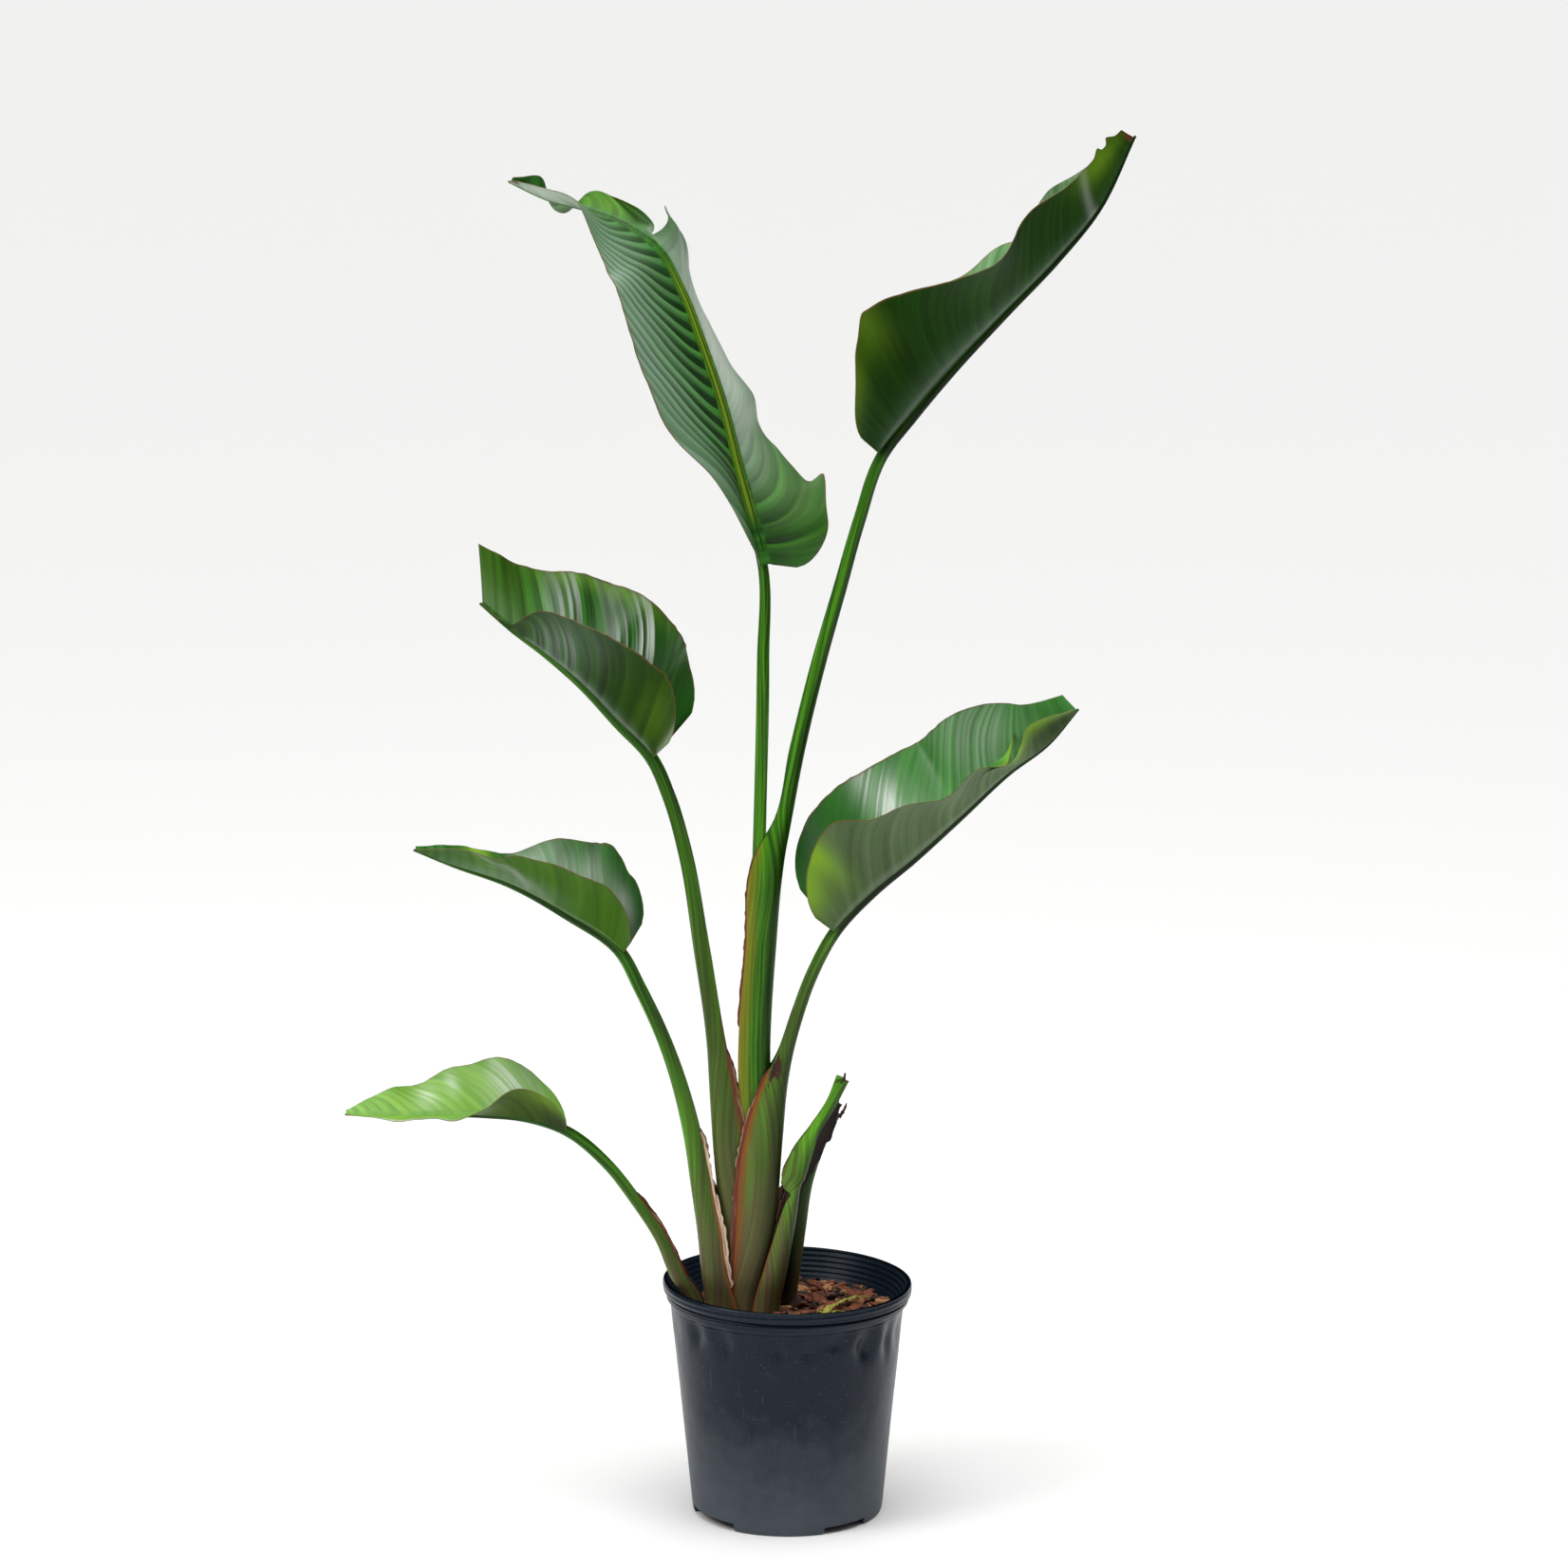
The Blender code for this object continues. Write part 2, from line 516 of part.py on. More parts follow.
def soil_height(x, y):
    """Height of the soil between the chips: a low mound round the stalks with small bumps."""
    mound = 4 * MM * math.exp(-((x + 40 * MM) ** 2 + (y + 32 * MM) ** 2) / (55 * MM) ** 2)
    bumps = 1.3 * MM * math.sin(x / (9 * MM) + 1.2) * math.cos(y / (8 * MM) - 0.4)
    return SOIL_TOP - 3 * MM + mound + bumps


HOLES = (
    # centre x, centre y, half length, half breadth, in mm
    (-45.5, -32, 41, 23.5),
    (-94.5, -32, 11.5, 11),
    (1.5, 3, 10.5, 11),
)


def rounded(share):
    """Turns a circle's coordinate into that of a rounder-cornered oval."""
    return math.copysign(abs(share) ** 0.7, share)


def over_hole(x, y, spare):
    return any(
        ((x / MM - cx) / (half + spare)) ** 2 + ((y / MM - cy) / (breadth + spare)) ** 2 < 1
        for cx, cy, half, breadth in HOLES
    )


SCRAP = (42, -52)


def make_chips(cutters):
    """Bark chips lying on the soil at all angles, clear of the stalks, the wall and the fallen scrap of leaf."""
    draw = random.Random(5)
    chips = bpy.data.collections.new("bark_chips")
    cutters.children.link(chips)
    made = 0
    while made < CHIPS:
        r, a = 100 * MM * math.sqrt(draw.random()), draw.uniform(0, 2 * math.pi)
        x, y = r * math.cos(a), r * math.sin(a)
        size = [side * draw.uniform(0.7, 1.25) for side in CHIP_SIZE]
        turn = (draw.uniform(-0.35, 0.35), draw.uniform(-0.3, 0.3), draw.uniform(0, math.pi))
        near_scrap = math.hypot(x / MM - SCRAP[0], y / MM - SCRAP[1]) < 22
        if over_hole(x, y, 9) or near_scrap:
            continue
        box(f"chip_{made}", size, (x, y, soil_height(x, y) + 0.6 * MM), turn, chips)
        made += 1
    return chips


def make_soil(colour, collection, cutters):
    gap = WALL + SOIL_GAP
    side_heights = [z for z in WALL_HEIGHTS if z < SOIL_TOP - 4 * MM]
    profile = [(0, SOIL_TOP - 3 * MM)]
    profile += [(r * MM, SOIL_TOP - 3 * MM) for r in (24, 48, 70, 88, 102)]
    profile += [(wall_radius(z) - gap, z) for z in side_heights]
    profile += [(wall_radius(0) - gap - 2 * MM, 5 * MM), (wall_radius(0) - gap - 8 * MM, 2.8 * MM), (0, 2.8 * MM)]
    soil = turned("soil", profile, colour, collection)
    for vert in soil.data.vertices:
        if vert.co.z > SOIL_TOP - 8 * MM and math.hypot(vert.co.x, vert.co.y) < 104 * MM:
            vert.co.z = soil_height(vert.co.x, vert.co.y)
    join_all(soil, make_chips(cutters))
    for k, (cx, cy, half, breadth) in enumerate(HOLES):
        bm = bmesh.new()
        bmesh.ops.create_cone(bm, cap_ends=True, segments=28, radius1=1, radius2=1, depth=1)
        for vert in bm.verts:
            x, y, z = vert.co
            vert.co = (rounded(x) * half * MM, rounded(y) * breadth * MM, z * 80 * MM)
        mesh = bpy.data.meshes.new(f"hole_{k}")
        bm.to_mesh(mesh)
        bm.free()
        hole = add_object(f"hole_{k}", mesh, cutters)
        hole.location = (cx * MM, cy * MM, HOLE_FLOOR + 40 * MM)
        cut(soil, hole, "MANIFOLD")
    return soil


def make_scrap(colour, collection):
    """A fallen strip of fresh leaf on the bark, bent once."""
    rows = in_metres(((34, -66, 216.2, 2.6), (38, -58, 216.7, 3.2), (41, -50, 218.2, 3.0), (49, -40, 218.7, 2.4),
                      (60, -34, 218.2, 1.2)))
    path = Path(rows)
    sections = []
    for k in range(9):
        share = k / 8
        row = path(share)
        ahead, behind = path(min(share + 0.02, 1)), path(max(share - 0.02, 0))
        direction = (ahead - behind)[:3]
        direction /= np.linalg.norm(direction)
        sideways = np.cross(direction, (0, 0.35, 0.94))
        sideways /= np.linalg.norm(sideways)
        up = np.cross(sideways, direction)
        half = 0.45 * MM
        ring = [row[:3] + sideways * a * row[3] + up * b * half for a, b in ((-1, 1), (1, 1), (1, -1), (-1, -1))]
        sections.append(ring)
    return loft("fallen_leaf_scrap", sections, colour, collection)


def main():
    for obj in list(bpy.data.objects):
        bpy.data.objects.remove(obj)
    plant = bpy.data.collections.new("potted_white_bird_of_paradise")
    cutters = bpy.data.collections.new("cutters")
    bpy.context.scene.collection.children.link(plant)
    bpy.context.scene.collection.children.link(cutters)
    materials = {
        "pot": material("slate polyethylene", (0.035, 0.045, 0.055), 0.5),
        "soil": material("bark and peat", (0.11, 0.05, 0.025), 0.9),
        "stalk": material("stalk green", (0.08, 0.17, 0.03), 0.45),
        "blade": material("blade green", (0.04, 0.12, 0.02), 0.35),
        "dry": material("dry sheath edge", (0.25, 0.09, 0.05), 0.8),
        "scrap": material("fresh leaf scrap", (0.35, 0.42, 0.05), 0.6),
    }
    make_pot(materials["pot"], plant, cutters)
    make_soil(materials["soil"], plant, cutters)
    paths = [make_leaf(leaf, materials, plant) for leaf in LEAVES]
    for number, start, end, widest in MARGINS:
        leaf = LEAVES[number]
        for face, word in ((NEAR, "front"), (FAR, "back")):
            name = f"{leaf['name']}_dry_edge_{word}"
            reach = (start, end, widest * MM)
            make_margin(name, leaf["side"], paths[number], face, reach, materials["dry"], plant)
    for name, rows in (("cut_stub_front", STUB_FRONT), ("cut_stub_back", STUB_BACK)):
        path = Path(in_metres(rows))
        make_stalk(name, RIGHT, path, lambda share: 0, materials["stalk"], plant)
    make_scrap(materials["scrap"], plant)
    for obj in cutters.all_objects:
        obj.hide_render = True
        obj.display_type = "WIRE"


main()
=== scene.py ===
"""A potted giant white bird of paradise: leaves, stalks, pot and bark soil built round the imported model."""

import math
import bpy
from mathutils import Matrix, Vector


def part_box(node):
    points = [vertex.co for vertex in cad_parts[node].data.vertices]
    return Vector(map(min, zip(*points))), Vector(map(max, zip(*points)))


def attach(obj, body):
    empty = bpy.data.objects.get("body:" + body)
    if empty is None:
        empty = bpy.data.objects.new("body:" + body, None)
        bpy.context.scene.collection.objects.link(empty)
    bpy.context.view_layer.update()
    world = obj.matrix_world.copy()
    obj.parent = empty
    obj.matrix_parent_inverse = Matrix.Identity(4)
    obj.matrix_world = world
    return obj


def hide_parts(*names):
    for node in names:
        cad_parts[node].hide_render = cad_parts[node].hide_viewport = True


bl_info = {
    "name": "Potted White Bird of Paradise",
    "version": (1, 0, 0),
    "blender": (4, 5, 0),
    "location": "View3D > Sidebar > Plant",
    "description": "Builds a potted giant white bird of paradise with its stage",
    "category": "Object",
}

import bmesh
import bpy
import numpy as np
from mathutils import Euler, Matrix, Vector

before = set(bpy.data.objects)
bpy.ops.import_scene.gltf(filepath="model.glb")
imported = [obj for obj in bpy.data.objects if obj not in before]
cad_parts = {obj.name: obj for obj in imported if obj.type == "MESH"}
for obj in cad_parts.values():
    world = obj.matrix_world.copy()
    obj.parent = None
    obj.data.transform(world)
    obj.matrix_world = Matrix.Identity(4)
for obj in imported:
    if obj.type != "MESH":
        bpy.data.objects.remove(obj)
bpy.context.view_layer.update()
SOIL_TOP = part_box("soil")[1][2]

MM = 0.001
LEFT, RIGHT = -1, 1
# The two halves of a blade, as the camera sees them. What is given for both is written as (near, far).
NEAR, FAR = 1, -1


def linear(code):
    """Turns an sRGB hex colour to the linear values that Blender's shaders take."""
    values = [int(code[k:k + 2], 16) / 255 for k in (1, 3, 5)]
    return tuple(v / 12.92 if v <= 0.04045 else ((v + 0.055) / 1.055) ** 2.4 for v in values)


def colour(label, code, about):
    """A colour that the user may change, from its hex code."""
    return bpy.props.FloatVectorProperty(
        name=label, description=about, subtype="COLOR", size=3, min=0, max=1, default=linear(code))


def quantity(label, value, about, unit="NONE"):
    """An amount that the user may change: a bare strength, or a length or power in metres or watts."""
    return bpy.props.FloatProperty(name=label, description=about, default=value, min=0, unit=unit)


def length(label, size, about):
    """A length that the user may change, from its size in mm."""
    return quantity(label, size * MM, about, "LENGTH")


class PlantPotSettings(bpy.types.PropertyGroup):
    rim_radius: length("Rim radius", 127, "Outer radius of the rolled rim")
    base_radius: length("Base radius", 97.5, "Outer radius at the foot of the wall")
    height: length("Height", 243, "Height of the rim above the floor")
    wall: length("Wall", 1.8, "Thickness of the moulded wall")
    slate: colour("Plastic", "#0a1826", "Colour of the clean plastic")
    scuffed: colour("Scuffed plastic", "#5c646c", "Colour of the rubbed and dusty plastic near the foot")


class PlantSoilSettings(bpy.types.PropertyGroup):
    top: length("Top", 214, "Mean height of the soil above the floor")
    chip_count: bpy.props.IntProperty(
        name="Bark chips", description="Number of bark chips on the soil", default=1050, min=0, max=4000)
    chip_length: length("Chip length", 13.5, "Mean length of a bark chip")
    peat: colour("Peat", "#1c120b", "Colour of the damp soil between the chips")
    bark_dark: colour("Dark bark", "#3a1d10", "Colour of the darkest chips")
    bark_red: colour("Red bark", "#8a4a2c", "Colour of the commonest chips")
    bark_tan: colour("Tan bark", "#c08a58", "Colour of the palest, driest chips")
    scrap: colour("Leaf scrap", "#a4aa38", "Colour of the fresh scrap of leaf")


class PlantLeafSettings(bpy.types.PropertyGroup):
    thickness: length("Blade thickness", 0.6, "Thickness of a leaf blade")
    rib_gap: length("Rib gap", 0.15, "Gap between the rib and the blade over it")
    lime: colour("Lime green", "#92c428", "Where light comes through a thin part")
    # Partly the grey wax of the blade and partly painted reflection of the pale surroundings.
    bloom: colour("Waxy bloom", "#7c9580", "Grey wax on the blade")
    # Painted highlight: a pale colour painted where the glossy blade reflects the light.
    sheen: colour("Pale wax", "#dfe8dc", "Thick pale wax that catches the light")
    midrib: colour("Midrib", "#7c9420", "Midrib seen from above")
    margin: colour("Margin", "#6b4a2a", "Thin dried line along the margin")
    scorch: colour("Scorched tip", "#5b2f1c", "Dried and torn parts of the blade")


class PlantStalkSettings(bpy.types.PropertyGroup):
    stem: colour("Stalk green", "#4c8c16", "Round stalk above the sheath")
    stem_dark: colour("Shaded stalk green", "#234e0c", "Darker streaks of the stalk")
    sheath: colour("Sheath green", "#5a6230", "Sheath above the soil")
    foot: colour("Sheath foot", "#6b5044", "Purple brown foot of the sheath")
    dry: colour("Dry edge", "#6a2f18", "Papery dry edge of a sheath")
    dry_pale: colour("Pale dry edge", "#dfc3a6", "Bleached parts of the dry edge")


class PlantStageSettings(bpy.types.PropertyGroup):
    floor: colour("Floor", "#fefefd", "Colour of the floor")
    key_power: quantity("Key light", 44, "Power of the large light above left", "POWER")
    fill_power: quantity("Fill light", 6, "Power of the light from the right", "POWER")
    top_power: quantity("Top light", 16, "Power of the light overhead", "POWER")
    dome: quantity("Dome light", 2.6, "Strength of the white surroundings overhead")
    walls: quantity("Walls", 0.1, "Strength of the surroundings near the horizon")
    backdrop: quantity("Backdrop", 0.88, "Strength of the surroundings where the camera sees them")


def smooth(low, high, x):
    """An S-shaped rise from 0 at low to 1 at high."""
    t = np.clip((x - low) / (high - low), 0.0, 1.0)
    return t * t * (3 - 2 * t)


def hermite(low, high, rise, fall, t):
    """A smooth curve from low to high, with the slopes rise and fall at its two ends."""
    start = (2 * t**3 - 3 * t**2 + 1) * low + (t**3 - 2 * t**2 + t) * rise
    return start + (3 * t**2 - 2 * t**3) * high + (t**3 - t**2) * fall


def along(pairs, u):
    """Values at u of a smooth curve through (u, value) pairs."""
    at, value = np.array(pairs, float).T
    slope = np.gradient(value, at)
    k = np.clip(np.searchsorted(at, u, side="right") - 1, 0, len(at) - 2)
    span = at[k + 1] - at[k]
    return hermite(value[k], value[k + 1], span * slope[k], span * slope[k + 1], np.clip((u - at[k]) / span, 0, 1))


def folds(s, period, seed):
    """Seeded smooth noise from -1 to 1 along a length, with about one rise or fall in each period."""
    knots = np.random.default_rng(seed).uniform(-1, 1, 512)
    place = np.asarray(s, float) / period + 128
    whole = np.floor(place).astype(int)
    rise = smooth(0, 1, place - whole)
    return knots[whole % 512] * (1 - rise) + knots[(whole + 1) % 512] * rise


def unit(vectors):
    """Vectors of length 1 that point the same way."""
    return vectors / np.maximum(np.linalg.norm(vectors, axis=-1, keepdims=True), 1e-12)


class Path:
    """A smooth curve through rows of x, y, z and other values, read by its share of the length."""

    # Points for each row, and how far ahead and back a direction is taken, as a share of the length.
    SAMPLES = 24
    REACH = 0.004

    def __init__(self, rows):
        rows = np.asarray(rows, float)
        chord = np.linalg.norm(np.diff(rows[:, :3], axis=0), axis=1)
        slope = np.gradient(rows, np.concatenate([[0.0], np.cumsum(chord)]), axis=0)
        dense = [rows[0]]
        for k, span in enumerate(chord):
            for t in np.linspace(0, 1, self.SAMPLES + 1)[1:]:
                dense.append(hermite(rows[k], rows[k + 1], span * slope[k], span * slope[k + 1], t))
        self.dense = np.array(dense)
        steps = np.linalg.norm(np.diff(self.dense[:, :3], axis=0), axis=1)
        self.reach = np.concatenate([[0.0], np.cumsum(steps)])
        self.length = self.reach[-1]
        self.row_reach = self.reach[::self.SAMPLES]

    def __call__(self, share):
        reach = np.asarray(share) * self.length
        return np.stack([np.interp(reach, self.reach, column) for column in self.dense.T], axis=-1)

    def direction(self, share, reach=REACH):
        """The way the path runs at an array of shares."""
        return unit(self(np.minimum(share + reach, 1))[..., :3] - self(np.maximum(share - reach, 0))[..., :3])

    def frame(self, share, side, roll):
        """Rows, directions, upper-face directions and near-side directions at an array of shares."""
        share = np.asarray(share, float)
        tangent = self.direction(share)
        upper = unit(-side * np.cross((0.0, 1.0, 0.0), tangent))
        near = side * np.cross(tangent, upper)
        turn = np.radians(np.broadcast_to(roll, share.shape))[..., None]
        return (self(share), tangent, np.cos(turn) * upper + np.sin(turn) * near,
                np.cos(turn) * near - np.sin(turn) * upper)


def add_node(tree, kind, links=None, **settings):
    """Adds a shader node, sets its properties, and sets or links its inputs, named or numbered in links."""
    made = tree.nodes.new("ShaderNode" + kind)
    for name, value in settings.items():
        setattr(made, name, value)
    for name, value in (links or {}).items():
        if isinstance(value, bpy.types.NodeSocket):
            tree.links.new(value, made.inputs[name])
        else:
            made.inputs[name].default_value = value
    return made


def new_material(name, sockets):
    """An empty material with its Principled BSDF, whose sockets are set to fixed values."""
    made = bpy.data.materials.new(name)
    made.use_nodes = True
    shader = made.node_tree.nodes["Principled BSDF"]
    for socket, value in sockets.items():
        shader.inputs[socket].default_value = value
    return made, made.node_tree, shader


def streaks(tree, surface, scale, detail, **more):
    """Noise drawn out along a surface, with scale in marks to the metre across it and along it."""
    placed = add_node(tree, "Mapping", {"Vector": surface, "Scale": (*scale, 1), **more}).outputs[0]
    return add_node(tree, "TexNoise", {"Vector": placed, "Scale": 1.0, "Detail": detail}).outputs["Fac"]


def dress(tree, shader, tint, height, strength, depth):
    """Gives a shader its colour, and a relief of a depth that follows a height."""
    tree.links.new(tint, shader.inputs["Base Color"])
    relief = add_node(tree, "Bump", {"Height": height, "Strength": strength, "Distance": depth})
    tree.links.new(relief.outputs[0], shader.inputs["Normal"])


def select_only(*pieces):
    """Selects pieces and nothing else, with the first of them active."""
    bpy.ops.object.select_all(action="DESELECT")
    for piece in pieces:
        piece.select_set(True)
    bpy.context.view_layer.objects.active = pieces[0]


def laid_grid(name, points, maps=None, marks=None, gaps=()):
    """A grid primitive laid on an array of points, row by row, with UV maps and point attributes from arrays.

    A gap is the row, the first column and the last column of cells that are left out.
    """
    rows, columns = points.shape[:2]
    bpy.ops.object.select_all(action="DESELECT")
    bpy.ops.mesh.primitive_grid_add(x_subdivisions=columns - 1, y_subdivisions=rows - 1, size=2)
    piece = bpy.context.object
    piece.name = piece.data.name = name
    mesh = piece.data
    at = np.empty(len(mesh.vertices) * 3)
    mesh.vertices.foreach_get("co", at)
    at = at.reshape(-1, 3)
    i = np.rint((at[:, 0] + 1) / 2 * (columns - 1)).astype(int)
    j = np.rint((at[:, 1] + 1) / 2 * (rows - 1)).astype(int)
    mesh.vertices.foreach_set("co", points[j, i].ravel())
    corner = np.empty(len(mesh.loops), int)
    mesh.loops.foreach_get("vertex_index", corner)
    mesh.uv_layers.remove(mesh.uv_layers[0])
    for label, values in (maps or {}).items():
        layer = mesh.uv_layers.new(name=label)
        layer.data.foreach_set("uv", values[j[corner], i[corner]].ravel())
    for label, values in (marks or {}).items():
        mark = mesh.attributes.new(label, "FLOAT", "POINT")
        mark.data.foreach_set("value", values[j, i].ravel())
    mesh.update()
    if gaps:
        bm = bmesh.new()
        bm.from_mesh(mesh)
        cells = [(face, {j[vert.index] for vert in face.verts}, {i[vert.index] for vert in face.verts})
                 for face in bm.faces]
        left_out = [face for face, face_rows, face_columns in cells for row, first, last in gaps
                    if face_rows == {row, row + 1} and min(face_columns) >= first and max(face_columns) <= last]
        bmesh.ops.delete(bm, geom=left_out, context="FACES")
        bm.to_mesh(mesh)
        bm.free()
    return piece


def weld(piece, distance=0.02 * MM):
    """Joins the points of a piece that meet, drops loose bits and turns its faces outwards."""
    select_only(piece)
    bpy.ops.object.mode_set(mode="EDIT")
    bpy.ops.mesh.select_all(action="SELECT")
    bpy.ops.mesh.remove_doubles(threshold=distance)
    bpy.ops.mesh.dissolve_degenerate(threshold=0.5 * distance)
    bpy.ops.mesh.delete_loose()
    bpy.ops.mesh.select_all(action="SELECT")
    bpy.ops.mesh.normals_make_consistent(inside=False)
    bpy.ops.object.mode_set(mode="OBJECT")


def shade(piece, angle):
    """Smooths the shading of a piece, apart from edges sharper than an angle in degrees."""
    select_only(piece)
    bpy.ops.object.shade_smooth_by_angle(angle=math.radians(angle))


def apply_modifiers(piece):
    """Applies all the modifiers of a piece, in their order."""
    select_only(piece)
    for modifier in list(piece.modifiers):
        bpy.ops.object.modifier_apply(modifier=modifier.name)


def thicken(piece, thickness, under=0):
    """Gives a sheet its thickness, half of it on each side. Its lower face takes the material under places on."""
    solid = piece.modifiers.new("Thickness", "SOLIDIFY")
    solid.thickness = thickness
    solid.offset = 0
    solid.material_offset = under
    apply_modifiers(piece)


def join(pieces, name):
    """Joins pieces into one, which takes the name."""
    select_only(*pieces)
    bpy.ops.object.join()
    piece = bpy.context.object
    piece.name = piece.data.name = name
    return piece


def seat(piece, slot, *nodes):
    """Rides a finished piece on the plant's one body, in place of its CAD nodes."""
    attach(piece, "root")
    if nodes:
        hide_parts(*nodes)


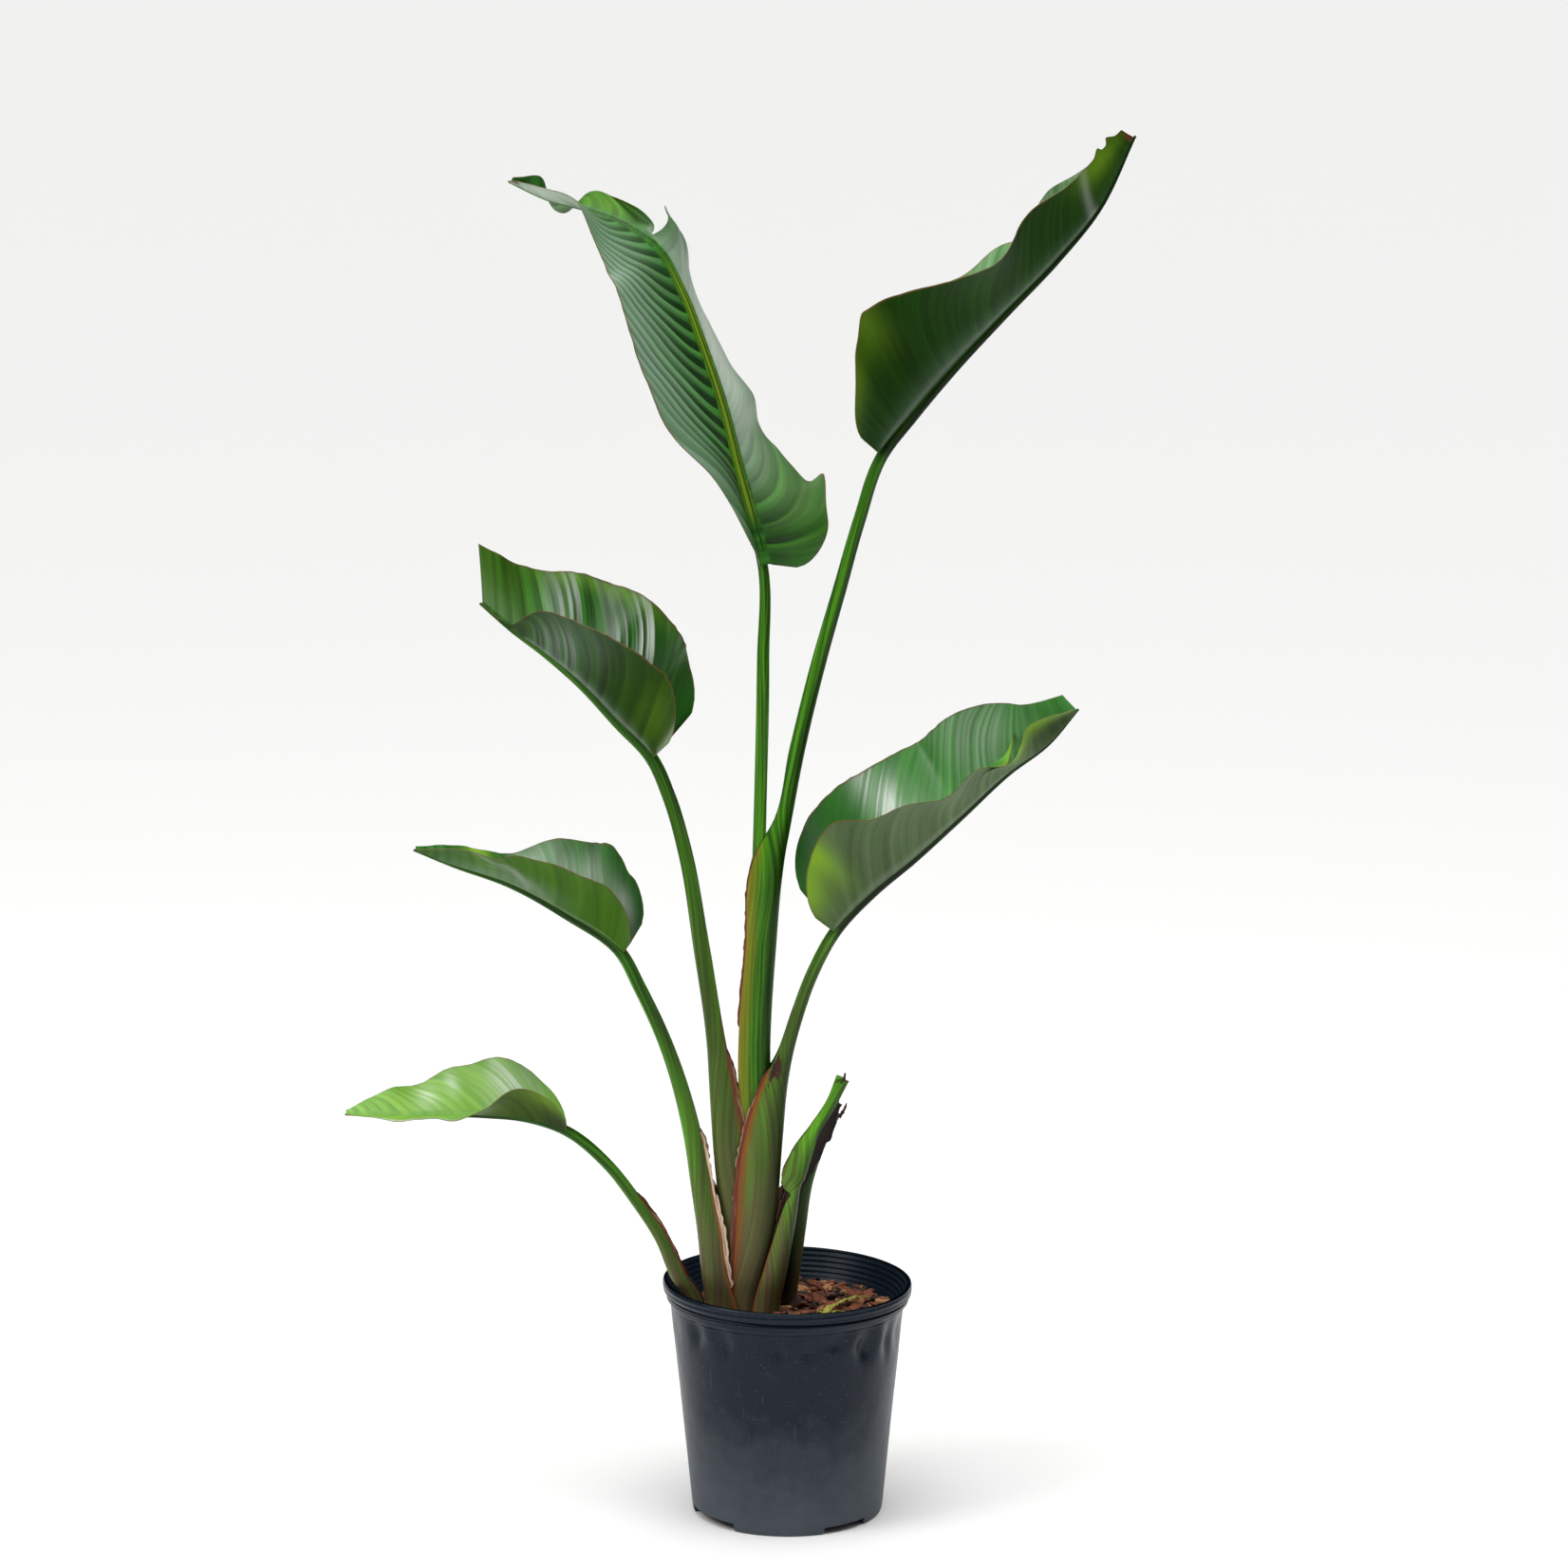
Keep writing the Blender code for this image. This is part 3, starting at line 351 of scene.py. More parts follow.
# Each leaf, with lengths in mm: the side it leans to, the rows of its stalk (x, y, z, half depth, half width, keel
# thickness), the points of its rib under the blade (x, y, z), and the shape of its blade. half is the greatest half
# width, at the share widest of the length. base rounds the foot of each half, the more the smaller it is. taper is
# how late the blade narrows, blunt the share of its width that is left at the tip, and trim the two shares between
# which the near half is cut away. forward draws a margin on towards the tip, and back draws it down past the foot.
# Angles are in degrees: near and far are the lift of each half and roll the turn of the whole blade, by the share of
# its length, and curl bends a half from rib to margin. wave is (count, height, phase) of the waves of the margin, and
# groove is how deep the upper face sinks over the rib, as a share of the rib's depth.
LEAVES = (
    dict(
        name="leaf_1_youngest", side=LEFT,
        stalk=((-43, -32, 185, 5.5, 6.2, 6.5), (-41.5, -32, 300, 6, 6.2, 7.5), (-36, -32, 500, 6.6, 6.2, 9),
               (-28.5, -32, 695, 6.6, 6.2, 9.5), (-25, -29, 890, 5.6, 5.6, 8), (-25, -27, 985, 5, 5, 7)),
        rib=((-34, -25, 1023), (-48, -22, 1075), (-66, -18, 1146), (-84, -12, 1200), (-105, -6, 1254),
             (-128, 0, 1294), (-155, 6, 1315), (-196, 12, 1332), (-238, 18, 1343), (-276, 24, 1360)),
        half=108, widest=0.36, taper=1.9, base=(0.9, 0.6), blunt=(0.05, 0.05), back=(0, 0.48), curl=(-14, -10),
        roll=((0, 62), (0.6, 66), (0.75, 50), (1, 30)),
        near=((0, 64), (0.1, 60), (0.2, 55), (0.3, 43), (0.4, 40), (0.5, 38), (0.6, 30), (0.7, 23), (0.78, 28),
              (0.85, 58), (1, 60)),
        far=((0, -12), (0.08, -6), (0.16, -34), (0.24, -56), (0.32, -59), (0.4, -67), (0.5, -70), (0.6, -61),
             (0.68, -44), (0.74, -38), (0.8, -30), (0.85, -30), (0.885, -66), (0.92, -50), (0.955, 40), (0.975, 80),
             (1, 80)),
        wave=(5, 1.5, 0.1),
    ),
    dict(
        name="leaf_2_upper_right", side=RIGHT,
        stalk=((-39, -32, 185, 9, 10, 4), (-38.5, -32, 225, 9.5, 10, 4), (-34, -32, 300, 14.5, 10, 4.5),
               (-32, -32, 400, 16.3, 10, 5), (-33.3, -32, 498, 16.3, 10, 6.5), (-26.6, -32, 596, 15.2, 10, 9),
               (-17.5, -32, 690, 15, 10, 13), (-6, -31, 722, 9.2, 8.5, 12), (10, -29, 800, 7.8, 7.6, 11.5),
               (31, -26, 886, 7.3, 7, 10.8), (52, -23, 960, 6.6, 6.4, 9.8), (71, -20, 1027, 6, 6, 9),
               (94.5, -16, 1093, 5.6, 5.7, 8.4)),
        rib=((124, -12, 1130), (162, -6, 1174), (218, 2, 1233), (266, 8, 1282), (308, 14, 1333), (343, 22, 1405)),
        half=116, widest=0.27, taper=1.55, base=(0.5, 0.9), blunt=(0.15, 0.08), back=(0.02, 0), curl=(-20, -10),
        roll=((0, 6), (1, 8)),
        near=((0, 40), (0.11, 59), (0.23, 74), (0.32, 59), (0.42, 43), (0.5, 38), (0.58, 46), (0.66, 58), (0.74, 62),
              (0.85, 70), (1, 78)),
        far=((0, 30), (0.2, 38), (0.34, 31), (0.48, 20), (0.56, 22), (0.64, 20), (0.72, 42), (0.8, 64), (0.9, 64),
             (1, 50)),
        wave=(4, 2, 0.3),
    ),
    dict(
        name="leaf_3_middle_left", side=LEFT,
        stalk=((-52, -32, 185, 10.5, 12.6, 4), (-52.5, -32, 225, 11, 12.6, 4), (-54.5, -32, 300, 13, 12.6, 5),
               (-60, -32, 400, 16, 12.6, 6), (-66, -32, 450, 13, 12.6, 7), (-72, -32, 498, 9.6, 11.6, 7.2),
               (-86.5, -30, 597, 8.2, 8, 11), (-103, -27, 694, 6.8, 6.8, 9.8), (-119, -25, 750, 6.3, 6.3, 9.2),
               (-137, -23, 790, 6, 6, 8.8)),
        rib=((-169, -20, 823), (-207, -16, 863), (-244, -12, 894), (-276, -8, 917), (-307, -4, 943)),
        half=108, widest=0.36, taper=2.0, base=(0.7, 0.42), blunt=(0.12, 0.42), forward=(0, 0.9), back=(0.03, 0),
        trim=(0.66, 0.83), curl=(-16, 14),
        roll=((0, 18), (1, 22)),
        near=((0, 62), (0.1, 72), (0.2, 72), (0.3, 65), (0.4, 61), (0.5, 61), (0.6, 57), (0.7, 60), (0.78, 62),
              (0.84, 46), (1, 34)),
        far=((0, 32), (0.15, 50), (0.3, 62), (0.4, 58), (0.5, 40), (0.6, 37), (0.7, 23), (0.8, 26), (1, 44)),
        wave=(4, 2, 0.6),
    ),
    dict(
        name="leaf_4_lower_left", side=LEFT,
        stalk=((-65, -32, 185, 16, 17.8, 5), (-66.5, -32, 222, 16, 17.8, 5), (-74, -32, 255, 13.2, 17.8, 5.5),
               (-80, -32, 305, 12, 17, 7), (-88, -33, 352, 10.3, 12.5, 9), (-95.5, -34, 400, 9.2, 9, 10.5),
               (-122.5, -37, 498, 6.9, 7, 9.6), (-149, -40, 558, 6, 6.1, 8.8), (-168, -43, 595, 5.6, 5.6, 8.2)),
        rib=((-221, -48, 634), (-278, -54, 667), (-334, -60, 688), (-372, -64, 704)),
        half=86, widest=0.3, taper=1.7, base=(1.1, 0.7), curl=(-14, 12),
        roll=((0, 16), (1, 20)),
        near=((0, 50), (0.1, 60), (0.2, 62), (0.3, 60), (0.5, 58), (0.6, 58), (0.68, 50), (0.8, 62), (0.9, 66),
              (1, 50)),
        far=((0, 34), (0.2, 41), (0.3, 33), (0.42, 21), (0.55, -8), (0.7, -8), (1, 4)),
        wave=(4, 1, 0.2),
    ),
    dict(
        name="leaf_5_lowest_left", side=LEFT,
        stalk=((-94, -32, 185, 8, 8.2, 8), (-94, -32, 230, 8.5, 8.2, 9), (-111, -34, 256, 7.6, 7.8, 9.5),
               (-128, -37, 296, 6.4, 6.8, 9), (-153.5, -41, 337, 5.6, 6, 8.2), (-182, -46, 376, 5.2, 5.4, 7.6),
               (-226, -53, 414, 4.6, 5, 6.8)),
        rib=((-261, -60, 427), (-307, -68, 433), (-372, -80, 436), (-442, -92, 440)),
        half=67, widest=0.38, taper=1.7, base=(0.9, 0.95), curl=(-10, -8), groove=0.1,
        roll=((0, 22), (1, 26)),
        near=((0, 60), (0.15, 66), (0.25, 68), (0.4, 42), (0.5, 36), (0.6, 34), (0.7, 33), (1, 30)),
        far=((0, 4), (0.2, 21), (0.3, 23), (0.4, 10), (0.5, 5), (0.7, -3), (0.85, 9), (1, 10)),
        wave=(4, 2, 0.45),
    ),
    dict(
        name="leaf_6_middle_right", side=RIGHT,
        stalk=((-40, -32, 185, 16, 15.2, 4.5), (-40.5, -32, 225, 16.5, 15.2, 4.5), (-32.5, -32, 300, 20, 15.2, 5.5),
               (-24, -32, 400, 19.5, 15.2, 6.5), (-12.5, -32, 457, 13.2, 13.2, 8), (-3.8, -33, 483, 8.6, 9.5, 10),
               (10, -35, 529, 6.4, 6.6, 9.2), (24, -37, 568, 5.8, 6, 8.5), (49.5, -41, 617, 5.5, 5.6, 8.2)),
        rib=((86, -46, 657), (125, -52, 691), (172, -60, 736), (220, -68, 783), (258, -74, 813), (287, -80, 849)),
        half=106, widest=0.3, taper=2.3, base=(0.75, 0.55), blunt=(0.08, 0.2), back=(0.02, 0.05), curl=(-22, 12),
        roll=((0, 20), (1, 24)),
        near=((0, 66), (0.1, 80), (0.2, 84), (0.3, 72), (0.4, 62), (0.5, 55), (0.6, 46), (0.7, 48), (0.76, 40),
              (0.82, 52), (0.89, 78), (0.95, 82), (1, 60)),
        far=((0, 44), (0.2, 56), (0.35, 36), (0.45, 31), (0.53, 25), (0.62, 36), (0.75, 56), (0.88, 52), (1, 44)),
        wave=(5, 2, 0.8),
    ),
)


# What the blades show from close by. rows is the number of points along a blade. folds is (spacing in mm, height in
# mm, contrast) of the pleats, contrast being the strength of the light and shade painted on them, sweep how far they
# run forward in each half, as (share, run) in shares of the length, and bend how much of that run comes near the
# margin. upper and under are the deep and the pale green of each face, stripes the least and the greatest strength
# of the painted glints, and rib_reach where the rib shows pale. A spot is (half, share of the length, share of the
# way from rib to margin, reach along, reach across, strength): calm flattens the pleats, lime is painted light that
# comes through the blade, bloom greys the green partly as wax and partly as painted reflection of the pale
# surroundings, sheen is a painted highlight where the blade catches the light, dark is painted shade where the blade
# lies in shade, and scorch where it has dried. A crease is a painted highlight along a fold, a pale line: (half,
# along, across, along, across, breadth in mm, strength). A horn is a point of the margin that is drawn out: (half,
# along, reach, mm outwards, mm forwards). A tear is (half, along, where it starts between rib and margin, opening in
# mm, lift in mm). A flap draws a corner of a tear out: (half, along, whether it is the corner before the tear, number
# of rows that follow it, and x, y, z in mm).
LOOKS = {
    "leaf_1_youngest": dict(
        rows=340, folds=(20, 1.2, 1.0), bend=0.7, upper=("#0f3a05", "#357f20"), under=("#3c5a3a", "#5c7a56"),
        sweep=(((0, 0.27), (0.5, 0.27), (0.8, 0.15), (1, 0)), ((0, 0.1), (0.6, 0.09), (1, 0))),
        stripes=(0.8, 1.0), rib_reach=(0.1, 0.62),
        tears=((FAR, 0.77, 0.1, 4, 2),),
        flaps=((FAR, 0.77, True, 34, -121, 2, 1338), (FAR, 0.77, False, 16, -148, 10, 1335)),
        horns=((FAR, 0.118, 0.014, 34, 6), (FAR, 0.3, 0.025, 4, 0)),
        calm=((FAR, 0.45, 0.5, 0.28, 2, 1.0), (FAR, 0.8, 0.5, 0.1, 2, 0.6), (NEAR, 0.9, 0.5, 0.1, 2, 0.6)),
        lime=((FAR, 0.8, 0.5, 0.07, 0.8, 0.25), (FAR, 0.13, 0.6, 0.1, 0.6, 0.12)),
        dark=((NEAR, 0.33, 0.1, 0.34, 0.34, 1.0), (FAR, 0.02, 0.2, 0.08, 0.4, 0.6), (NEAR, 0.04, 0.5, 0.07, 0.6, 0.6)),
        scorch=((NEAR, 0.985, 0.8, 0.02, 0.5, 0.6),),
        bloom=((NEAR, 0.35, 1.0, 0.35, 0.6, 1.0), (NEAR, 0.72, 0.75, 0.16, 0.6, 0.6), (FAR, 0.4, 0.5, 0.2, 0.9, 0.8),
               (FAR, 0.62, 0.5, 0.1, 0.8, 0.7), (FAR, 0.2, 0.15, 0.06, 0.3, 0.35)),
        sheen=((FAR, 0.44, 0.3, 0.18, 0.7, 0.75), (NEAR, 0.93, 0.5, 0.09, 0.9, 0.5))),
    "leaf_2_upper_right": dict(
        rows=260, folds=(17, 0.25, 0.08), upper=("#3f7038", "#7a9e74"), under=("#0a2400", "#1e440a"),
        sweep=(((0, 0.04), (0.3, 0.1), (0.6, 0.13), (1, 0)), ((0, 0.15), (0.6, 0.12), (1, 0))), stripes=(0.8, 1.0),
        horns=((NEAR, 0.2, 0.02, 5, 0), (NEAR, 0.92, 0.01, 6, 0), (NEAR, 0.965, 0.01, 6, -3)),
        fold_highlights=((NEAR, 0.86, 1.0, 0.785, 0.05, 6, 0.35), (NEAR, 0.02, 0.03, 0.8, 0.03, 3, 0.25)),
        lime=((NEAR, 0.08, 0.95, 0.07, 0.25, 0.3), (NEAR, 0.2, 0.9, 0.04, 0.3, 0.3), (NEAR, 0.9, 0.8, 0.08, 0.4, 0.42)),
        bloom=((NEAR, 0.35, 0.0, 0.45, 0.16, 0.3),),
        scorch=((NEAR, 1.0, 0.3, 0.02, 0.6, 0.8), (FAR, 1.0, 0.5, 0.02, 1, 0.6), (NEAR, 0.72, 1.0, 0.03, 0.1, 0.5))),
    "leaf_3_middle_left": dict(
        rows=220, folds=(19, 1.2, 0.5), upper=("#0d3405", "#2f741c"), under=("#0e2205", "#2c4e16"),
        sweep=(((0, 0.15), (0.6, 0.16), (1, 0)), ((0, 0.32), (0.3, 0.22), (0.5, 0.13), (0.7, 0.07), (1, 0))),
        stripes=(0.0, 1.5),
        fold_highlights=((NEAR, 0.03, 0.03, 0.75, 0.03, 2.5, 0.3), (NEAR, 0.0, 0.3, 0.03, 1, 4, 0.6)),
        lime=((NEAR, 0.1, 0.5, 0.16, 0.5, 0.15), (FAR, 0.5, 0.95, 0.2, 0.1, 0.35), (FAR, 0.95, 0.5, 0.2, 1, 0.22),
              (NEAR, 0.0, 0.9, 0.02, 0.2, 0.8)),
        bloom=((NEAR, 0.6, 0.5, 0.14, 0.6, 0.25), (NEAR, 0.3, 0.0, 0.4, 0.1, 0.4), (FAR, 0.95, 0.1, 0.2, 0.4, 0.35)),
        dark=((FAR, 0.95, 0.5, 0.15, 0.9, 0.35),), calm=((FAR, 0.9, 0.5, 0.14, 2, 0.9),),
        sheen=((FAR, 0.34, 0.6, 0.08, 0.6, 0.7), (FAR, 0.6, 0.5, 0.07, 0.7, 0.3), (NEAR, 0.6, 0.3, 0.12, 0.4, 0.1)),
        scorch=((NEAR, 0.78, 0.95, 0.05, 0.12, 0.5),)),
    "leaf_4_lower_left": dict(
        rows=200, folds=(13, 0.3, 0.1), upper=("#124c08", "#367c24"), under=("#264a05", "#49770e"),
        sweep=(((0, 0.15), (0.4, 0.11), (1, 0)), ((0, 0.18), (0.2, 0.15), (0.4, 0.08), (1, 0))), stripes=(0.6, 1.1),
        horns=((FAR, 0.21, 0.05, 6, 0), (FAR, 0.36, 0.06, -4, 0), (FAR, 0.13, 0.02, -4, 0), (FAR, 0.02, 0.03, 8, -9)),
        fold_highlights=((NEAR, 0.76, 1.0, 0.5, 0.1, 4.5, 0.35), (NEAR, 0.68, 0.5, 0.4, 0.05, 6, 0.2),
                 (NEAR, 0.03, 0.02, 0.9, 0.02, 2, 0.35)),
        lime=((FAR, 0.72, 0.85, 0.06, 0.4, 1.0),),
        bloom=((NEAR, 0.6, 0.1, 0.25, 0.25, 0.6), (NEAR, 0.88, 0.5, 0.12, 0.9, 0.25)),
        sheen=((FAR, 0.5, 0.5, 0.06, 0.5, 0.6), (FAR, 0.3, 0.5, 0.12, 0.3, 0.4), (FAR, 0.08, 0.55, 0.1, 0.2, 0.5)),
        dark=((FAR, 0.0, 0.6, 0.12, 0.9, 1.0), (NEAR, 0.93, 0.5, 0.12, 0.9, 0.5)),
        scorch=((NEAR, 0.005, 0.6, 0.02, 0.3, 0.6),)),
    "leaf_5_lowest_left": dict(
        rows=200, folds=(13, 0.5, 0.15), upper=("#4f8a2a", "#83b34a"), under=("#1c2c06", "#455f1c"),
        sweep=(((0, 0.18), (0.5, 0.2), (1, 0)), ((0, 0.19), (0.5, 0.2), (1, 0))), stripes=(0.4, 1.2),
        lime=((FAR, 0.5, 0.5, 0.4, 0.6, 0.4), (NEAR, 0.7, 0.5, 0.3, 0.6, 0.35), (NEAR, 0.12, 1.0, 0.1, 0.35, 0.5)),
        sheen=((FAR, 0.25, 0.5, 0.1, 0.5, 0.8), (FAR, 0.62, 0.5, 0.05, 0.4, 0.6), (FAR, 0.5, 0.6, 0.03, 0.3, 0.5),
               (NEAR, 0.75, 0.95, 0.2, 0.1, 0.7)),
        dark=((NEAR, 0.02, 0.4, 0.1, 0.8, 0.8),), scorch=((NEAR, 0.99, 0.5, 0.02, 0.6, 0.9),)),
    "leaf_6_middle_right": dict(
        rows=240, folds=(15, 0.15, 0.1), upper=("#286a20", "#4c9440"), under=("#3a4d2e", "#647955"),
        sweep=(((0, 0.2), (0.5, 0.2), (1, 0)), ((0, 0.24), (0.3, 0.22), (0.5, 0.2), (0.7, 0.12), (1, 0))),
        stripes=(0.4, 1.3), tears=((NEAR, 0.8, 0.5, 8, 3),), flaps=((NEAR, 0.8, True, 16, 224, -55, 824),),
        fold_highlights=((NEAR, 0.02, 0.04, 0.7, 0.04, 3, 0.25),), calm=((FAR, 0.1, 0.5, 0.18, 1, 1.0),),
        lime=((NEAR, 0.06, 1.0, 0.05, 0.5, 1.0), (NEAR, 0.14, 1.0, 0.035, 0.55, 1.0),
              (NEAR, 0.88, 0.95, 0.1, 0.4, 0.8), (NEAR, 0.78, 0.9, 0.03, 0.5, 0.8)),
        sheen=((FAR, 0.34, 0.4, 0.055, 0.7, 1.0), (FAR, 0.7, 0.6, 0.12, 0.6, 0.25)),
        dark=((FAR, 0.12, 0.6, 0.16, 0.8, 0.8), (NEAR, 0.93, 0.3, 0.12, 0.5, 0.9)),
        scorch=((NEAR, 0.5, 1.0, 0.4, 0.06, 0.35),)),
}

HALF_COLUMNS = 32
# Places of the points over the rib, from -1 on the far side to 1 on the near side.
RIB_STRIP = np.array([-0.98, -0.5, 0.0, 0.5, 0.98])
# How much slimmer the rib is at the tip than at the foot of the blade, how far outside it the halves start, and how
# short of its end they stop, as a share.
RIB_TAPER = 0.78
RIB_EDGE = 1.0 * MM
BLADE_END = 0.995
# A half bends from rib to margin in this many short straight steps.
CURL_STEPS = 8
# The rib's colour fades over this distance beside it.
RIB_FADE = 0.8 * MM
# Unevenness of a margin is drawn over a blade that counts as 400 mm long, a painted fold highlight over one 90 mm wide.
NOISE_LENGTH = 400
FOLD_HIGHLIGHT_WIDTH = 90 * MM
SPOT_MARKS = ("lime", "scorch", "bloom", "sheen", "dark", "calm", "crease")
# Points over which a horn's direction is taken, inwards and along the margin.
HORN_INWARD, HORN_ALONG = 6, 4
# Rows that a tear spreads and turns before it fades out.
TEAR_SPREAD, TEAR_TURN = 16, 18


def of_half(pair, side):
    """What a (near, far) pair gives for one half of a blade."""
    return pair[0] if side == NEAR else pair[1]


def leaf_path(leaf):
    """The path of a leaf's stalk and rib, and the share of its length at which the blade starts."""
    stalk, rib = np.array(leaf["stalk"]) * MM, np.array(leaf["rib"]) * MM
    slim = 1 - RIB_TAPER * np.arange(1, len(rib) + 1) / len(rib)
    path = Path(np.concatenate([stalk, np.hstack([rib, np.outer(slim, stalk[-1, 3:])])]))
    return path, path.row_reach[len(stalk) - 1] / path.length


def blade_width(leaf, u, side):
    """Half width of a blade, from the rib to the margin, at shares of its length."""
    widest = leaf["widest"]
    low = np.sqrt(np.clip(1 - ((widest - u) / widest) ** 2, 0, 1)) ** of_half(leaf["base"], side)
    high = 1 - np.clip((u - widest) / (1 - widest), 0, 1) ** leaf["taper"]
    blunt = of_half(leaf.get("blunt", (0.05, 0.05)), side) * u**3
    width = leaf["half"] * MM * (blunt + (1 - blunt) * np.where(u < widest, low, high))
    if side == NEAR and "trim" in leaf:
        begin, end = leaf["trim"]
        width = width * (0.1 + 0.9 * np.sqrt(1 - np.clip((u - begin) / (end - begin), 0, 1) ** 2))
    return width


def blade_half(leaf, path, start, u, side, v, gap):
    """Points of one half of a blade at shares u of its length and v of the way from the rib to the margin."""
    along_path = start + (1 - start) * u * BLADE_END
    row, tangent, upper, near = path.frame(along_path, leaf["side"], along(leaf["roll"], u))
    rib = row[..., 4] + RIB_EDGE
    outward = near * side
    spread = np.maximum(blade_width(leaf, u, side), rib + 3 * MM) - rib
    # The margin is a little uneven, every 9 mm or so.
    spread = spread * (1 + 0.006 * folds(u * NOISE_LENGTH, 9, 5 + side) * smooth(0.0, 0.1, u))
    lift = along(of_half((leaf["near"], leaf["far"]), side), u)
    place = row[..., :3] + upper * (row[..., 3] + gap)[..., None] + outward * rib[..., None]
    for step in range(CURL_STEPS):
        angle = np.radians(lift + of_half(leaf["curl"], side) * (v * (step + 0.5) / CURL_STEPS - 0.5))[..., None]
        place = place + (np.cos(angle) * outward + np.sin(angle) * upper) * (spread * v / CURL_STEPS)[..., None]
    tilt = np.radians(lift)[..., None]
    face = np.cos(tilt) * upper - np.sin(tilt) * outward
    # Long waves grow towards the margin and fade at both ends, and small uneven ones about 24 mm long lie over them.
    waves, height, phase = leaf["wave"]
    ripple = np.sin(2 * math.pi * (waves * u + phase) + side * 1.3) * height * MM * v * v
    ripple = ripple * np.sqrt(np.sin(math.pi * np.clip(u, 0, 1)))
    ripple = ripple + 0.7 * MM * v**3 * folds(u * NOISE_LENGTH, 24, 21 + side) * smooth(0, 0.08, u)
    # The margin runs on towards the tip, and at the foot it may fall back past the stalk.
    forward, back = (of_half(leaf.get(key, (0, 0)), side) for key in ("forward", "back"))
    run = (0.06 * v + forward * u * u) * spread * v - back * spread * v * np.clip(1 - u / 0.2, 0, 1)
    return place + face * ripple[..., None] + tangent * run[..., None]


def rib_strip(leaf, path, start, u, t, gap):
    """Points of the blade over its rib, where t goes from -1 on the far side to 1 on the near side."""
    along_path = start + (1 - start) * u * BLADE_END
    row, _, upper, near = path.frame(along_path, leaf["side"], along(leaf["roll"], u))
    sink = leaf.get("groove", 0.5) * row[..., 3] * (1 - t * t) * smooth(0, 0.05, u)
    above, aside = row[..., 3] + gap - sink, t * (row[..., 4] + RIB_EDGE)
    return row[..., :3] + upper * above[..., None] + near * aside[..., None]


def spots(rows, u, side, v):
    """Strength, from 0 to 1, of soft oval spots on one half of a blade."""
    total = np.zeros(np.broadcast(u, v).shape)
    for half, at, across, reach, breadth, strength in rows:
        if half == side:
            total = total + strength * np.exp(-(((u - at) / reach) ** 2) - ((v - across) / breadth) ** 2)
    return np.clip(total, 0, 1)


def fold_highlights(rows, u, side, v, run):
    """Strength, from 0 to 1, of painted fold highlights: soft pale lines between two points on one half of a blade."""
    total = np.zeros(np.broadcast(u, v).shape)
    for half, u0, v0, u1, v1, breadth, strength in rows:
        if half == side:
            line = np.array(((u1 - u0) * run, (v1 - v0) * FOLD_HIGHLIGHT_WIDTH))
            x, y = (u - u0) * run, (v - v0) * FOLD_HIGHLIGHT_WIDTH
            t = np.clip((x * line[0] + y * line[1]) / (line @ line), 0, 1)
            apart = np.hypot(x - t * line[0], y - t * line[1])
            total = total + strength * np.exp(-((apart / (breadth * MM)) ** 2))
    return np.clip(total, 0, 1)


def flat_blade(leaf, settings):
    """A whole blade before its pleats, as arrays by name, each with a row of values across it for each step along."""
    look = LOOKS[leaf["name"]]
    path, start = leaf_path(leaf)
    run = (1 - start) * path.length
    gap = settings.rib_gap + settings.thickness / 2
    base = np.linspace(0, 1, look["rows"])[:, None]
    v = np.broadcast_to(np.linspace(0, 1, HALF_COLUMNS + 1)[1:], (look["rows"], HALF_COLUMNS))
    bend = look.get("bend", 0.2)
    halves = {}
    for side in (FAR, NEAR):
        sweep = along(of_half(look["sweep"], side), base) * np.clip(base / 0.1, 0, 1)
        u = np.clip(base + sweep * ((1 - bend) * v + bend * v * v), 0, 1)
        width = blade_width(leaf, u, side)
        half = dict(points=blade_half(leaf, path, start, u, side, v, gap), u=u, n=v * width, v=v,
                    rib=0.5 * np.exp(-v * width / RIB_FADE), half=np.full(u.shape, side))
        half.update({mark: spots(look.get(mark, ()), u, side, v) for mark in SPOT_MARKS})
        half["crease"] = fold_highlights(look.get("fold_highlights", ()), u, side, v, run)
        halves[side] = half
    t = np.broadcast_to(RIB_STRIP, (look["rows"], len(RIB_STRIP)))
    u = np.broadcast_to(base, t.shape)
    flat = np.zeros(t.shape)
    middle = dict(points=rib_strip(leaf, path, start, u, t, gap), u=u, n=flat, v=flat, rib=smooth(1, 0.6, np.abs(t)),
                  half=flat, **dict.fromkeys(SPOT_MARKS, flat))
    blade = {key: np.concatenate([halves[FAR][key][:, ::-1], middle[key], halves[NEAR][key]], axis=1)
             for key in middle}
    low, high = look.get("rib_reach", (0, 0))
    shown = smooth(low - 0.03, low + 0.03, blade["u"]) * smooth(high + 0.06, high - 0.06, blade["u"])
    blade["rib"] = blade["rib"] * shown
    if leaf["side"] == LEFT:
        blade = {key: value[:, ::-1] for key, value in blade.items()}
    return blade, base, run


def margin_row(blade, half, at):
    """The column of a half's margin, and the row there that is nearest to a share of the length."""
    edge = 0 if blade["half"][0, 0] == half else blade["half"].shape[1] - 1
    return edge, int(np.argmin(np.abs(blade["u"][:, edge] - at)))


def draw_horns(look, blade):
    """Draws points out of the margin, each with the part of the blade round it."""
    points = blade["points"]
    for half, at, reach, outward, forward in look.get("horns", ()):
        edge, row = margin_row(blade, half, at)
        away = unit(points[row, edge] - points[row, edge + (HORN_INWARD if edge == 0 else -HORN_INWARD)])
        before, after = max(row - HORN_ALONG, 0), min(row + HORN_ALONG, len(points) - 1)
        ahead = unit(points[after, edge] - points[before, edge])
        pull = np.exp(-(((blade["u"] - at) / reach) ** 2)) * blade["v"] ** 4 * (blade["half"] == half)
        points = points + pull[..., None] * (away * outward + ahead * forward) * MM
    blade["points"] = points


